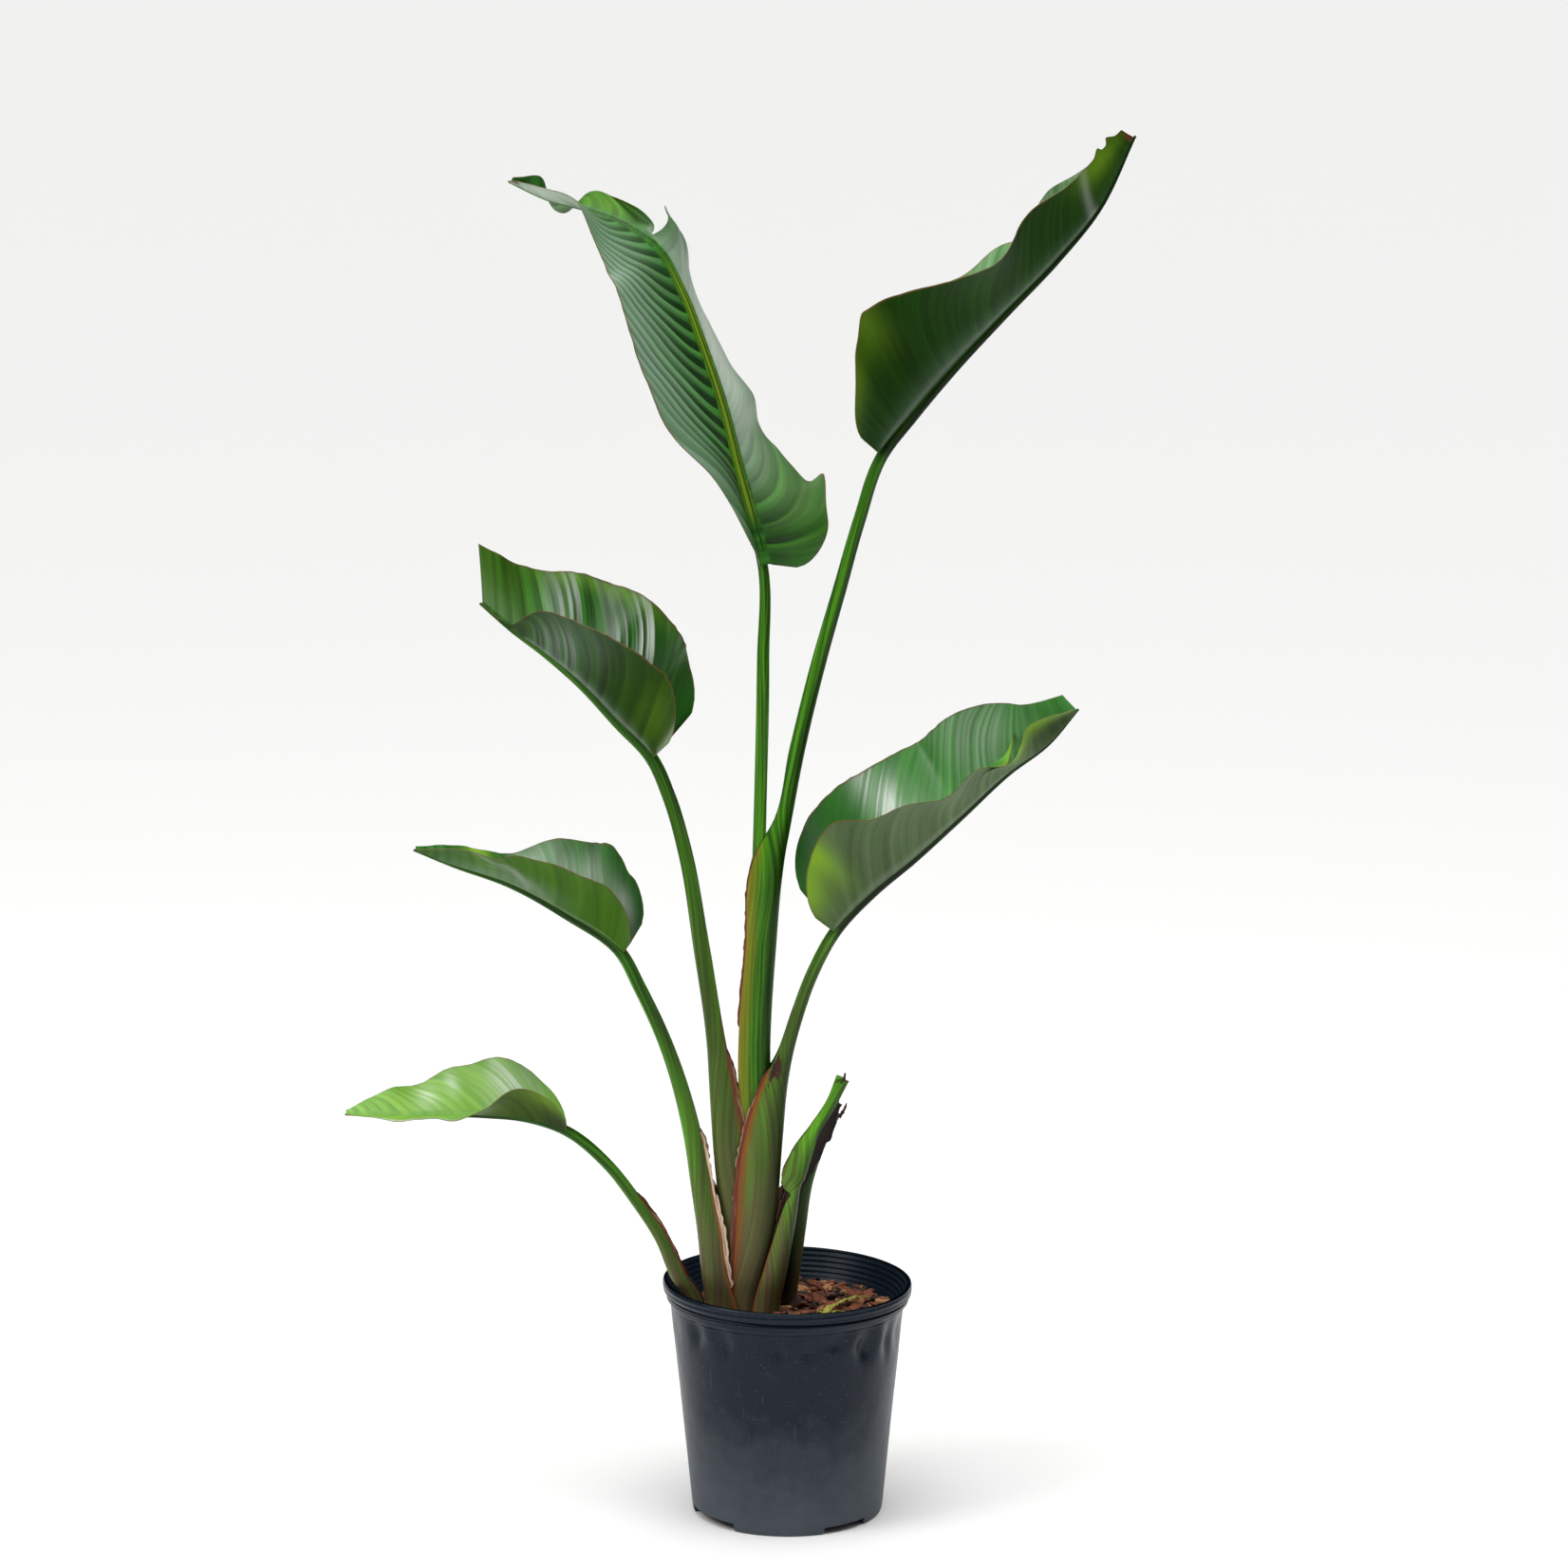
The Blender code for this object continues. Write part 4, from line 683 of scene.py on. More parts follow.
def fold_pleats(look, blade, base, run):
    """Raises the pleats, and adds their painted light and shade and the distance along the rib to the blade's arrays.
    """
    s = base * run / MM
    normal = unit(np.cross(np.gradient(blade["points"], axis=1), np.gradient(blade["points"], axis=0)))
    # Each pleat has a sharp valley. The slope below it faces the light, and the slope above it lies in shade.
    spacing, height, contrast = look["folds"]
    phase = (s + 2.5 * folds(s, 37, 3)) / spacing
    strength = 0.8 + 0.4 * folds(s, 60, 4)
    pleat = (np.abs(np.sin(math.pi * phase)) ** 0.8 - 0.6) * strength + 0.08 * folds(s, 4, 6)
    # They fade towards the rib, the margin, the foot and the tip, and where the blade is calm.
    calm = smooth(0.0, 0.04, base) * (1 - blade["calm"])
    fade = smooth(0, 0.12, blade["v"]) * (1 - 0.75 * blade["v"] ** 2) * (1 - base**6) * calm
    blade["points"] = blade["points"] + normal * (pleat * fade * height * MM)[..., None]
    # The colour gets the same light and shade, painted: darkest just above each valley, lighter towards the next one.
    turn = np.remainder(phase, 1.0)
    painted_shade = smooth(0.1, 0.9, turn) * smooth(1.0, 0.95, turn) * strength + 0.05 * folds(s, 3, 9)
    shown = contrast * smooth(0, 0.04, blade["v"]) * (1 - 0.5 * blade["v"]) * calm
    blade["pleat"] = 0.5 + (painted_shade - 0.4) * shown
    blade["s"] = np.broadcast_to(s * MM, blade["v"].shape)


def open_tears(look, blade):
    """Spreads the rows beside each tear, and gives the cells to leave out as (row, first column, last column)."""
    points = blade["points"]
    j = np.arange(len(points))
    gaps = []
    for side, at, depth, opening, lift in look.get("tears", ()):
        edge, row = margin_row(blade, side, at)
        torn = np.flatnonzero((blade["half"][row] == side) & (blade["v"][row] > depth))
        ahead = unit(np.gradient(points, axis=0))[row]
        normal = unit(np.cross(np.gradient(points, axis=1), np.gradient(points, axis=0)))[row]
        apart = np.abs(j - row - 0.5)
        # The side towards the tip gives way for nearly all of the opening, and the two sides turn opposite ways.
        away = np.where(j <= row, -0.15, 1.85) * np.exp(-apart / TEAR_SPREAD) * 0.5 * opening * MM
        turned = np.where(j <= row, 1.0, -0.5) * np.exp(-apart / TEAR_TURN) * lift * MM
        share = (blade["v"][row] - depth) / (1 - depth)
        for i in torn:
            points[:, i] += share[i] ** 1.2 * (away[:, None] * ahead[i] + turned[:, None] * normal[i])
        for half, place, before, span, *target in look.get("flaps", ()):
            if (half, place) == (side, at):
                first = row if before else row + 1
                shift = np.array(target) * MM - points[first, edge]
                apart = first - j if before else j - first
                pull = np.where(apart >= 0, np.clip(1 - apart / span, 0, 1) ** 1.15, 0)
                for i in torn:
                    points[:, i] += (pull * share[i])[:, None] * shift
        gaps.append((row, torn[0], torn[-1]))
    return gaps


def build_blade(leaf, settings):
    """One leaf blade: a grid laid along the rib, pleated, torn where the real one is, and given its thickness."""
    look = LOOKS[leaf["name"]]
    blade, base, run = flat_blade(leaf, settings)
    draw_horns(look, blade)
    fold_pleats(look, blade, base, run)
    gaps = open_tears(look, blade)
    maps = {"veins": np.stack([blade["s"], blade["n"]], axis=-1), "leaf": np.stack([blade["u"], blade["v"]], axis=-1)}
    marks = {key: blade[key] for key in ("rib", "pleat", *SPOT_MARKS)}
    piece = laid_grid(leaf["name"] + "_leaf", blade["points"], maps, marks, gaps)
    piece.data.materials.append(leaf_upper(leaf, settings))
    piece.data.materials.append(leaf_under(leaf, settings))
    thicken(piece, settings.thickness, under=1)
    shade(piece, 60)
    seat(piece, "blade", leaf["name"] + "_blade")


def blade_colour(tree, leaf, settings, face):
    """Colour output, fine vein output and broad band output that both faces of a blade share."""
    look, on_top = LOOKS[leaf["name"]], face == "upper"
    dark, light = ((*linear(code), 1) for code in look[face])
    veins = add_node(tree, "UVMap", uv_map="veins").outputs["UV"]
    # Fine parallel veins about 2 mm apart; real ones are nearer 1 mm, which the picture can't show.
    fine = streaks(tree, veins, (480, 9), 2.0)
    # Bands as broad as the pleats, 12 to 18 mm, where the green is deeper or paler.
    broad = streaks(tree, veins, (95, 4), 3.0, Location=(3.1, 0, 0))
    low, high = (0.3, 0.7) if on_top else (0.15, 0.85)
    band = add_node(tree, "MapRange", {"Value": broad, "From Min": low, "From Max": high}).outputs[0]
    green = add_node(tree, "Mix", {0: band, 6: dark, 7: light}, data_type="RGBA").outputs[2]
    pale = add_node(tree, "MapRange", {"Value": fine, "From Min": 0.5, "From Max": 0.75,
                                       "To Max": 0.1 if on_top else 0.03}).outputs[0]
    green = add_node(tree, "Mix", {0: pale, 6: green, 7: (*settings.lime, 1)}, data_type="RGBA").outputs[2]
    # Painted light and shade on the folds: the green is painted darker in their valleys and lighter on their ridges,
    # the bloom and lime spots are stronger on the ridges, and the painted shade is deeper in the valleys.
    ridge = add_node(tree, "Attribute", attribute_name="pleat").outputs["Fac"]
    depth = add_node(tree, "MapRange", {"Value": ridge, "To Min": 0.15, "To Max": 1.85}).outputs[0]
    ridge_light = add_node(tree, "MapRange", {"Value": ridge, "From Min": 0.2, "From Max": 0.8, "To Min": 0.35,
                                        "To Max": 1.15}).outputs[0]
    valley = add_node(tree, "MapRange", {"Value": ridge, "From Min": 0.3, "From Max": 0.8, "To Min": 1.2,
                                         "To Max": 0.3}).outputs[0]
    # Painted glints: the pale sheen colour is painted in stripes of 4 to 8 mm between the veins, where the wax catches
    # the light.
    glint = add_node(tree, "MapRange", {
        "Value": streaks(tree, veins, (130, 3), 2.0, Location=(7.7, 0, 0)), "From Min": 0.43, "From Max": 0.58,
        "To Min": look["stripes"][0], "To Max": look["stripes"][1]}).outputs[0]
    # Painted shade is a darker copy of the deep green, and painted fold highlights a dimmer copy of the pale sheen
    # colour.
    shadow = tuple(0.5 * value for value in dark[:3])
    fold_highlight_tint = tuple(0.45 * value for value in settings.sheen)
    green = add_node(tree, "VectorMath", {0: green, 3: depth}, operation="SCALE").outputs[0]
    for mark, tint, share_of in (("bloom", settings.bloom, ridge_light), ("sheen", settings.sheen, glint),
                                 ("crease", fold_highlight_tint, 1.0), ("lime", settings.lime, ridge_light), ("dark", shadow, valley),
                                 ("rib", settings.midrib, 1.0)):
        spot = add_node(tree, "Attribute", attribute_name=mark).outputs["Fac"]
        spot = add_node(tree, "Math", {0: spot, 1: share_of}, operation="MULTIPLY", use_clamp=True).outputs[0]
        green = add_node(tree, "Mix", {0: spot, 6: green, 7: (*tint, 1)}, data_type="RGBA").outputs[2]
    # A thin dried line runs along the margin.
    share = add_node(tree, "UVMap", uv_map="leaf").outputs["UV"]
    across = add_node(tree, "SeparateXYZ", {0: share}).outputs["Y"]
    edge = add_node(tree, "MapRange", {"Value": across, "From Min": 0.972, "From Max": 0.995,
                                       "To Max": 0.75}).outputs[0]
    green = add_node(tree, "Mix", {0: edge, 6: green, 7: (*settings.margin, 1)}, data_type="RGBA").outputs[2]
    # Dried patches break up into blotches 3 to 8 mm across.
    place = add_node(tree, "TexCoord").outputs["Object"]
    blotch = add_node(tree, "TexNoise", {"Vector": place, "Scale": 190.0, "Detail": 4.0}).outputs["Fac"]
    dried = add_node(tree, "Attribute", attribute_name="scorch").outputs["Fac"]
    dried = add_node(tree, "Math", {0: dried, 1: blotch}, operation="ADD").outputs[0]
    dried = add_node(tree, "MapRange", {"Value": dried, "From Min": 0.85, "From Max": 1.15}).outputs[0]
    green = add_node(tree, "Mix", {0: dried, 6: green, 7: (*settings.scorch, 1)}, data_type="RGBA").outputs[2]
    return green, fine, broad


def leaf_upper(leaf, settings):
    """Upper face of a living leaf: a thin waxy skin that gives a satin gloss broken up by the veins."""
    made, tree, shader = new_material(leaf["name"] + "_waxy_upper_skin", {"IOR": 1.47, "Specular IOR Level": 0.3})
    green, fine, broad = blade_colour(tree, leaf, settings, "upper")
    gloss = add_node(tree, "MapRange", {"Value": broad, "From Min": 0.3, "From Max": 0.7, "To Min": 0.27,
                                        "To Max": 0.44})
    tree.links.new(gloss.outputs[0], shader.inputs["Roughness"])
    dress(tree, shader, green, fine, 0.5, 0.35 * MM)
    return made


def leaf_under(leaf, settings):
    """Lower face of a living leaf: greyer and matt, with the veins standing a little proud."""
    made, tree, shader = new_material(
        leaf["name"] + "_matt_lower_skin", {"Roughness": 0.5, "IOR": 1.45, "Specular IOR Level": 0.06})
    green, fine, _ = blade_colour(tree, leaf, settings, "under")
    dress(tree, shader, green, fine, 0.7, 0.4 * MM)
    return made


# A stalk: the thickness of its sheath's walls, the distance between the rings of its skin, and the steps round half
# of a ring.
SHEATH_WALL = 1.8 * MM
RING_STEP = 6 * MM
RING_TURN = 13
# How much nearer the side walls stand at the top where the groove is filled.
WALL_LEAN = 0.22


def filled(keel, depth):
    """How far the groove of a stalk is filled: 0 is an open sheath and 1 a solid stalk."""
    return smooth(0.3, 0.7, keel / (2 * depth))


def channel(depth, width, keel):
    """Section of a stalk as (up, sideways) points: a round keel below, two side walls and a groove open above."""
    # The side walls thicken and lean in as the groove fills, until the section is a solid stalk.
    solid = float(filled(keel, depth))
    round_part = min(1.1 * width, 1.45 * depth)
    middle = round_part - depth
    wall = SHEATH_WALL + (0.5 * width - SHEATH_WALL) * solid
    side = width * (1 - WALL_LEAN * solid)
    floor = keel - depth
    groove = max(middle, floor + 0.15 * (depth - floor))
    lip = side - SHEATH_WALL * (1 - 0.2 * solid)
    outer = [(depth, 0.3 * MM - side), (depth - 0.5 * MM, -side)]
    inner = [(depth, -lip - 0.3 * MM), (depth - 0.6 * MM, -lip)]
    for angle in math.pi * (np.arange(RING_TURN + 1) / RING_TURN - 0.5):
        outer.append((middle - round_part * math.cos(angle), width * math.sin(angle)))
        inner.append((groove - (groove - floor) * math.cos(angle), (width - wall) * math.sin(angle)))
    outer += [(depth - 0.5 * MM, side), (depth, side - 0.3 * MM)]
    inner += [(depth - 0.6 * MM, lip), (depth, lip + 0.3 * MM)]
    return np.array(outer + inner[::-1])


def stalk_grid(path, side, roll, ragged):
    """Rings of a stalk along its path, closed to a line at both ends, with its two marks and its UV map."""
    base = np.linspace(0, 1, int(path.length / RING_STEP))
    points, lips, across, around = [], [], [], []
    for share in base:
        row = path(share)
        ring = channel(*row[3:6])
        count = np.arange(len(ring))
        torn = ragged * (0.5 * folds(count, 2.3, 8) + 0.5 * folds(count, 7, 9))
        shares = share + torn * smooth(1 - 2.5 * ragged, 1, share) if ragged else np.full(len(ring), share)
        rows_at, _, upper, near = path.frame(shares, side, roll(shares))
        points.append(rows_at[:, :3] + upper * ring[:, :1] + near * ring[:, 1:])
        up = ring[:, 0] / row[3]
        lips.append(smooth(0.55, 0.97, up) * (1 - filled(row[5], row[3])))
        across.append(up)
        around.append(np.concatenate([[0.0], np.cumsum(np.linalg.norm(np.diff(ring, axis=0), axis=1))]))
    run = np.repeat(base[:, None] * path.length, len(around[0]), axis=1)
    points, *values = (np.array(value) for value in (points, lips, across, around, run))
    caps = []
    for end in (points[0], points[-1]):
        half = len(end) // 2
        line = (end[:half] + end[half:][::-1]) / 2
        caps.append(np.concatenate([line, line[::-1]])[None])
    points = np.concatenate([caps[0], points, caps[1]])
    values = [np.concatenate([value[:1], value, value[-1:]]) for value in values]
    points, lips, across, around, run = (np.concatenate([value, value[:, :1]], axis=1) for value in (points, *values))
    return points, {"lip": lips, "across": across}, {"run": np.stack([around, run], axis=-1)}


def build_stalk(name, node, path, side, roll, finish, ragged=0.0):
    """One stalk with its sheath, groove and rib, as a welded skin. Its top is torn by a ragged share of the path."""
    points, marks, maps = stalk_grid(path, side, roll, ragged)
    piece = laid_grid(name, points, maps, marks)
    weld(piece)
    shade(piece, 50)
    piece.data.materials.append(finish)
    seat(piece, "stalk", node)


# Tints of each stalk: how far up the purple brown foot reaches, in mm above the soil; the colour of the sheath's edge,
# how strong it is and from which share of the wall's height; how dark the green is, below 0 for brighter; the gain of
# the painted light and shade on the keel and on the open side; and how dark the rib under the blade is painted, as
# its shade.
STALK_LOOKS = {
    "leaf_1_youngest": (40, "#7a5a28", 0.2, 0.0, -0.1, (1.25, 0.95), 0.7),
    "leaf_2_upper_right": (60, "#8f7c20", 0.8, 0.35, 0.3, (0.3, 1.25), 0.15),
    "leaf_3_middle_left": (220, "#6b3a20", 0.8, 0.6, 0.35, (1.0, 0.75), 0.9),
    "leaf_4_lower_left": (120, "#94562a", 0.8, 0.6, 0.1, (1.15, 0.8), 0.5),
    "leaf_5_lowest_left": (60, "#7a3c22", 0.6, 0.6, 0.2, (1.15, 0.8), 0.5),
    "leaf_6_middle_right": (190, "#8a4a1c", 1.0, 0.62, 0.3, (0.35, 1.2), 0.15),
    "cut_stub_front": (110, "#7a4a24", 0.8, 0.6, -0.4, (0.45, 1.3), 1),
    # The back stub, behind the front one, is painted darkest: painted shade.
    "cut_stub_back": (70, "#2a1a10", 0.9, 0.5, 0.7, (0.55, 0.08), 1),
}


def stalk_skin(name, settings, rib_start=10.0):
    """Smooth green skin of a living stalk, streaked along its length, browner and duller towards the foot.

    The rib starts at a distance along the stalk, which a stub never reaches.
    """
    foot_reach, lip_tint, lip_strength, lip_low, shade_share, painted_side_light, rib_shade = STALK_LOOKS[name]
    made, tree, shader = new_material(
        name + "_stalk_skin", {"Roughness": 0.38, "IOR": 1.45, "Specular IOR Level": 0.18})
    run = add_node(tree, "UVMap", uv_map="run").outputs["UV"]
    # Streaks along the stalk, 2 to 4 mm wide, with finer ones of under 1 mm in them.
    streak = streaks(tree, run, (330, 7), 4.0)
    green, dark = np.array(settings.stem), np.array(settings.stem_dark)
    light = green + (dark - green) * 0.75 * shade_share
    deep = dark * (1.1 - 0.35 * shade_share)
    pale = add_node(tree, "MapRange", {"Value": streak, "From Min": 0.36, "From Max": 0.66}).outputs[0]
    skin = add_node(tree, "Mix", {0: pale, 6: (*deep, 1), 7: (*light, 1)}, data_type="RGBA").outputs[2]
    # The sheath and its brown foot reach up unevenly, in patches and along the streaks.
    place = add_node(tree, "TexCoord").outputs["Object"]
    uneven = add_node(tree, "SeparateXYZ", {0: place}).outputs["Z"]
    for source, shift, low, high in ((streaks(tree, run, (60, 14), 3.0), 0.09, 0, 1), (streak, 0.07, 0.3, 0.7)):
        drift = add_node(tree, "MapRange", {"Value": source, "From Min": low, "From Max": high, "To Min": -shift,
                                            "To Max": shift}).outputs[0]
        uneven = add_node(tree, "Math", {0: uneven, 1: drift}, operation="ADD").outputs[0]
    for tint, low, high, strength in ((settings.sheath, 0.5, 2.6, 0.75), (settings.foot, -0.2, 1.0, 0.8)):
        low, high = (SOIL_TOP + share * foot_reach * MM for share in (low, high))
        reach = add_node(tree, "MapRange", {"Value": uneven, "From Min": low, "From Max": high, "To Min": strength,
                                            "To Max": 0.0}).outputs[0]
        skin = add_node(tree, "Mix", {0: reach, 6: skin, 7: (*tint, 1)}, data_type="RGBA").outputs[2]
    # Painted light and shade: the rib is painted darker where it lies in the blade's shade, the keel and the open side
    # get painted light and shade by how the light falls on them, and the fibres are lighter and darker.
    share = add_node(tree, "SeparateXYZ", {0: run}).outputs["Y"]
    rib = add_node(tree, "MapRange", {"Value": share, "From Min": rib_start - 12 * MM, "From Max": rib_start + 6 * MM,
                                      "To Min": 1.0, "To Max": rib_shade}).outputs[0]
    across = add_node(tree, "Attribute", attribute_name="across").outputs["Fac"]
    turn = add_node(tree, "MapRange", {"Value": across, "From Min": -0.9, "From Max": 0.5, "To Min": painted_side_light[0],
                                       "To Max": painted_side_light[1]}, interpolation_type="SMOOTHSTEP").outputs[0]
    fibre = add_node(tree, "MapRange", {"Value": streak, "From Min": 0.3, "From Max": 0.7, "To Min": 0.82,
                                        "To Max": 1.18}).outputs[0]
    for gain in (rib, turn, fibre):
        skin = add_node(tree, "VectorMath", {0: skin, 3: gain}, operation="SCALE").outputs[0]
    lip = add_node(tree, "Attribute", attribute_name="lip").outputs["Fac"]
    lip = add_node(tree, "MapRange", {"Value": lip, "From Min": lip_low, "To Max": lip_strength}).outputs[0]
    skin = add_node(tree, "Mix", {0: lip, 6: skin, 7: (*linear(lip_tint), 1)}, data_type="RGBA").outputs[2]
    dress(tree, shader, skin, streak, 0.45, 0.5 * MM)
    return made


def leaf_roll(leaf, start):
    """A function that gives the roll of a leaf's stalk and rib at shares of the whole length."""
    def roll(share):
        under_blade = along(leaf["roll"], np.clip((share - start) / (1 - start), 0, 1))
        return np.where(share < start, along(leaf["roll"], 0) * smooth(start * 0.7, start, share), under_blade)
    return roll


# Dry sheath edges: place of the leaf in LEAVES, start and end as shares of the whole stalk and rib, widest breadth
# in mm, and how bleached the edge is.
DRY_EDGES = (
    (1, 0.25, 0.39, 2.2, 0.1), (2, 0.12, 0.36, 4, 0.3), (3, 0.09, 0.34, 5, 0.95), (4, 0.14, 0.35, 2.5, 0.1),
    (5, 0.06, 0.37, 4, 0.25))
EDGE_STEP = 2.2 * MM
EDGE_COLUMNS = 7


def build_dry_edge(leaf, face, word, start, end, widest, finish):
    """The papery dried edge of a sheath: a thin ragged strip that stands out from the top of one side wall."""
    path, _ = leaf_path(leaf)
    rows = max(40, int((end - start) * path.length / EDGE_STEP))
    share, t = np.meshgrid(np.linspace(start, end, rows), np.linspace(0, 1, EDGE_COLUMNS), indexing="ij")
    row, _, upper, near = path.frame(share, leaf["side"], 0.0)
    edge = row[..., 4] * (1 - WALL_LEAN * filled(row[..., 5], row[..., 3])) - 0.5 * SHEATH_WALL
    p = (share - start) / (end - start)
    s = share * path.length / MM
    seed = int(10 * widest) + 7 * face
    # Broadest in its middle, ragged every 23 and every 5 mm, and running out at both ends.
    breadth = widest * MM * (0.3 + 0.7 * np.sin(math.pi * np.clip(p * 0.8 + 0.15, 0, 1)) ** 0.7)
    breadth = breadth * (1 + 0.35 * folds(s, 23, seed) + 0.3 * folds(s, 5, seed + 1))
    breadth = breadth * smooth(0, 0.05, p + 0.02) * smooth(0, 0.06, 1.02 - p)
    curl = breadth * (0.35 * folds(s, 40, seed + 2) + 0.12 * folds(s, 9, seed + 3)) * t * t
    points = row[..., :3] + upper * (row[..., 3] - 0.6 * MM + t * (breadth + 0.6 * MM))[..., None]
    points = points + near * (face * (edge + curl))[..., None]
    run = np.stack([t * breadth, share * path.length], axis=-1)
    piece = laid_grid(f"{leaf['name']}_papery_edge_{word}", points, {"run": run}, {"outer": t})
    thicken(piece, 0.35 * MM)
    shade(piece, 60)
    piece.data.materials.append(finish)
    seat(piece, "dry_sheath_edge", f"{leaf['name']}_dry_edge_{word}")


def dry_sheath(settings, bleached, strength=1.0):
    """Dead papery sheath: matt, red brown, bleached in streaks along its fibres. A low strength is nearly black."""
    made, tree, shader = new_material(f"papery_dry_sheath_{round(bleached * 100)}", {"Roughness": 0.75})
    dry, pale = (tuple(strength * value for value in tint) for tint in (settings.dry, settings.dry_pale))
    fibre = streaks(tree, add_node(tree, "UVMap", uv_map="run").outputs["UV"], (700, 22), 4.0)
    outer = add_node(tree, "Attribute", attribute_name="outer").outputs["Fac"]
    faded = add_node(tree, "Math", {0: outer, 1: 0.3, 2: fibre}, operation="MULTIPLY_ADD").outputs[0]
    faded = add_node(tree, "MapRange", {"Value": faded, "From Min": 0.85 - 0.4 * bleached,
                                        "From Max": 1.1 - 0.35 * bleached}).outputs[0]
    brown = add_node(tree, "Mix", {0: faded, 6: (*dry, 1), 7: (*pale, 1)}, data_type="RGBA").outputs[2]
    dress(tree, shader, brown, fibre, 0.7, 0.4 * MM)
    return made


# Rows of the two stalks that were cut short, as in LEAVES.
STUB_FRONT = ((-22, -32, 185, 14, 20.4, 5), (-22, -32, 222, 14, 20.4, 5), (-12.5, -33, 263, 12.5, 18, 6),
              (-3.5, -35, 300, 9.8, 13, 8), (4.5, -36, 333, 6.8, 9.5, 9), (8, -37, 346, 4.8, 8, 8),
              (5.5, -38, 354, 10, 8, 9.5), (12.5, -38, 379, 11, 8.5, 10), (28.5, -39.5, 412, 6.2, 7, 8.5),
              (43.5, -41, 437, 5.4, 6.2, 8), (56, -42.5, 465, 6.8, 5.5, 7))
STUB_BACK = ((0, 3, 185, 7, 8, 9), (1.5, 3, 222, 8, 8, 9), (5.5, 0, 258, 8.6, 8, 9.5), (9.5, -4, 300, 9.8, 7.6, 9),
             (15.5, -8, 350, 11, 7.2, 9), (32, -12, 394, 8.8, 6.6, 8.5), (49, -15, 424, 6, 5.6, 7))


# Torn brown remains of old sheaths: x, y, z and half breadth, in mm, along each.
REMAINS = (
    ((-13, -36, 270, 4), (-9, -39, 300, 5), (-4, -38, 330, 4.5), (0, -37, 350, 2)),
    ((-5, -42, 285, 3), (-1, -43, 308, 4), (3, -42, 330, 3), (5, -41, 344, 1)),
    ((-17, -34, 300, 3.5), (-13, -36, 325, 4), (-9, -36, 344, 3.5), (-5, -36, 352, 1)),
    ((42, -26, 412, 1.5), (48, -26, 424, 2.2), (51, -24, 434, 1.2), (52, -24, 440, 0.5)),
    ((52, -30, 421, 1.8), (57, -30, 429, 1.5), (60, -30, 436, 0.5)),
    ((53, -46, 458, 1.2), (57, -47, 466, 1.5), (58, -47, 472, 0.5)),
    ((-19, -44, 452, 1.5), (-14, -44, 466, 4.5), (-10, -44, 481, 3.5), (-9, -44, 489, 0.8)),
)
# A nearly black sheet that shows between the two stubs: painted shadow of the shaded channel between them.
CHANNEL_SHADOW = (((12.5, -33, 348, 2), (19, -33, 365, 5), (29, -33, 389, 7), (39.5, -33, 410, 6.5), (52, -33, 437, 3)),
          ((1, -30, 374, 3), (0, -30, 349, 7), (-3, -30, 325, 7), (-8, -30, 309, 4)))
# The scrap of leaf: a bent strip, its short branch and a dry twig. Two more strands lie behind it.
SCRAP = (
    ((34, -66, 216.5, 2.6), (38, -58, 217.4, 3.4), (41, -50, 219.2, 3.2), (49, -40, 220.0, 2.6), (60, -34, 218.6, 1.0)),
    ((41, -52, 219.0, 1.8), (36, -45, 220.4, 2.2), (30, -40, 219.8, 0.9)),
    ((55, -50, 219.4, 1.0), (63, -45, 220.6, 1.2), (72, -41, 219.2, 0.7)))
STRANDS = (
    ((37, -60, 219, 2), (43, -34, 222, 4), (53, -14, 221, 3), (66, 4, 222, 2.5), (72, 14, 221, 1)),
    ((62, -6, 222, 1), (74, 2, 223, 2), (84, 6, 221, 1)))
# The way the flat side of a strip faces: upwards on the bark, and towards the camera on the sheaths.
LYING, STANDING = (0.0, 0.35, 0.94), (0.25, -0.95, 0.1)
STRIP_ROWS, STRIP_COLUMNS = 26, 7


def lay_strips(name, strips, thickness, facing, finish, slot, *nodes):
    """Thin ragged strips, each along rows of x, y, z and half breadth in mm, as one piece."""
    parts = []
    share, across = np.meshgrid(np.linspace(0, 1, STRIP_ROWS), np.linspace(-1, 1, STRIP_COLUMNS), indexing="ij")
    for k, rows in enumerate(strips):
        path = Path(np.array(rows) * MM)
        row = path(share)
        direction = path.direction(share, 0.03)
        sideways = unit(np.cross(direction, facing))
        up = np.cross(sideways, direction)
        # Each strip has ragged edges and is hollow across and buckled along it.
        ragged = 1 + 0.3 * folds(share * 30, 1.5, 31 + k)
        points = row[..., :3] + sideways * (across * row[..., 3] * ragged)[..., None]
        points = points + up * (across**2 * 0.35 * row[..., 3] + 0.5 * MM * folds(share * 30, 2, 32 + k))[..., None]
        run = np.stack([across * row[..., 3], share * path.length], axis=-1)
        piece = laid_grid(f"{name}_{k}", points, {"run": run}, {"outer": across * across})
        thicken(piece, thickness)
        parts.append(piece)
    piece = join(parts, name)
    shade(piece, 60)
    piece.data.materials.append(finish)
    seat(piece, slot, *nodes)


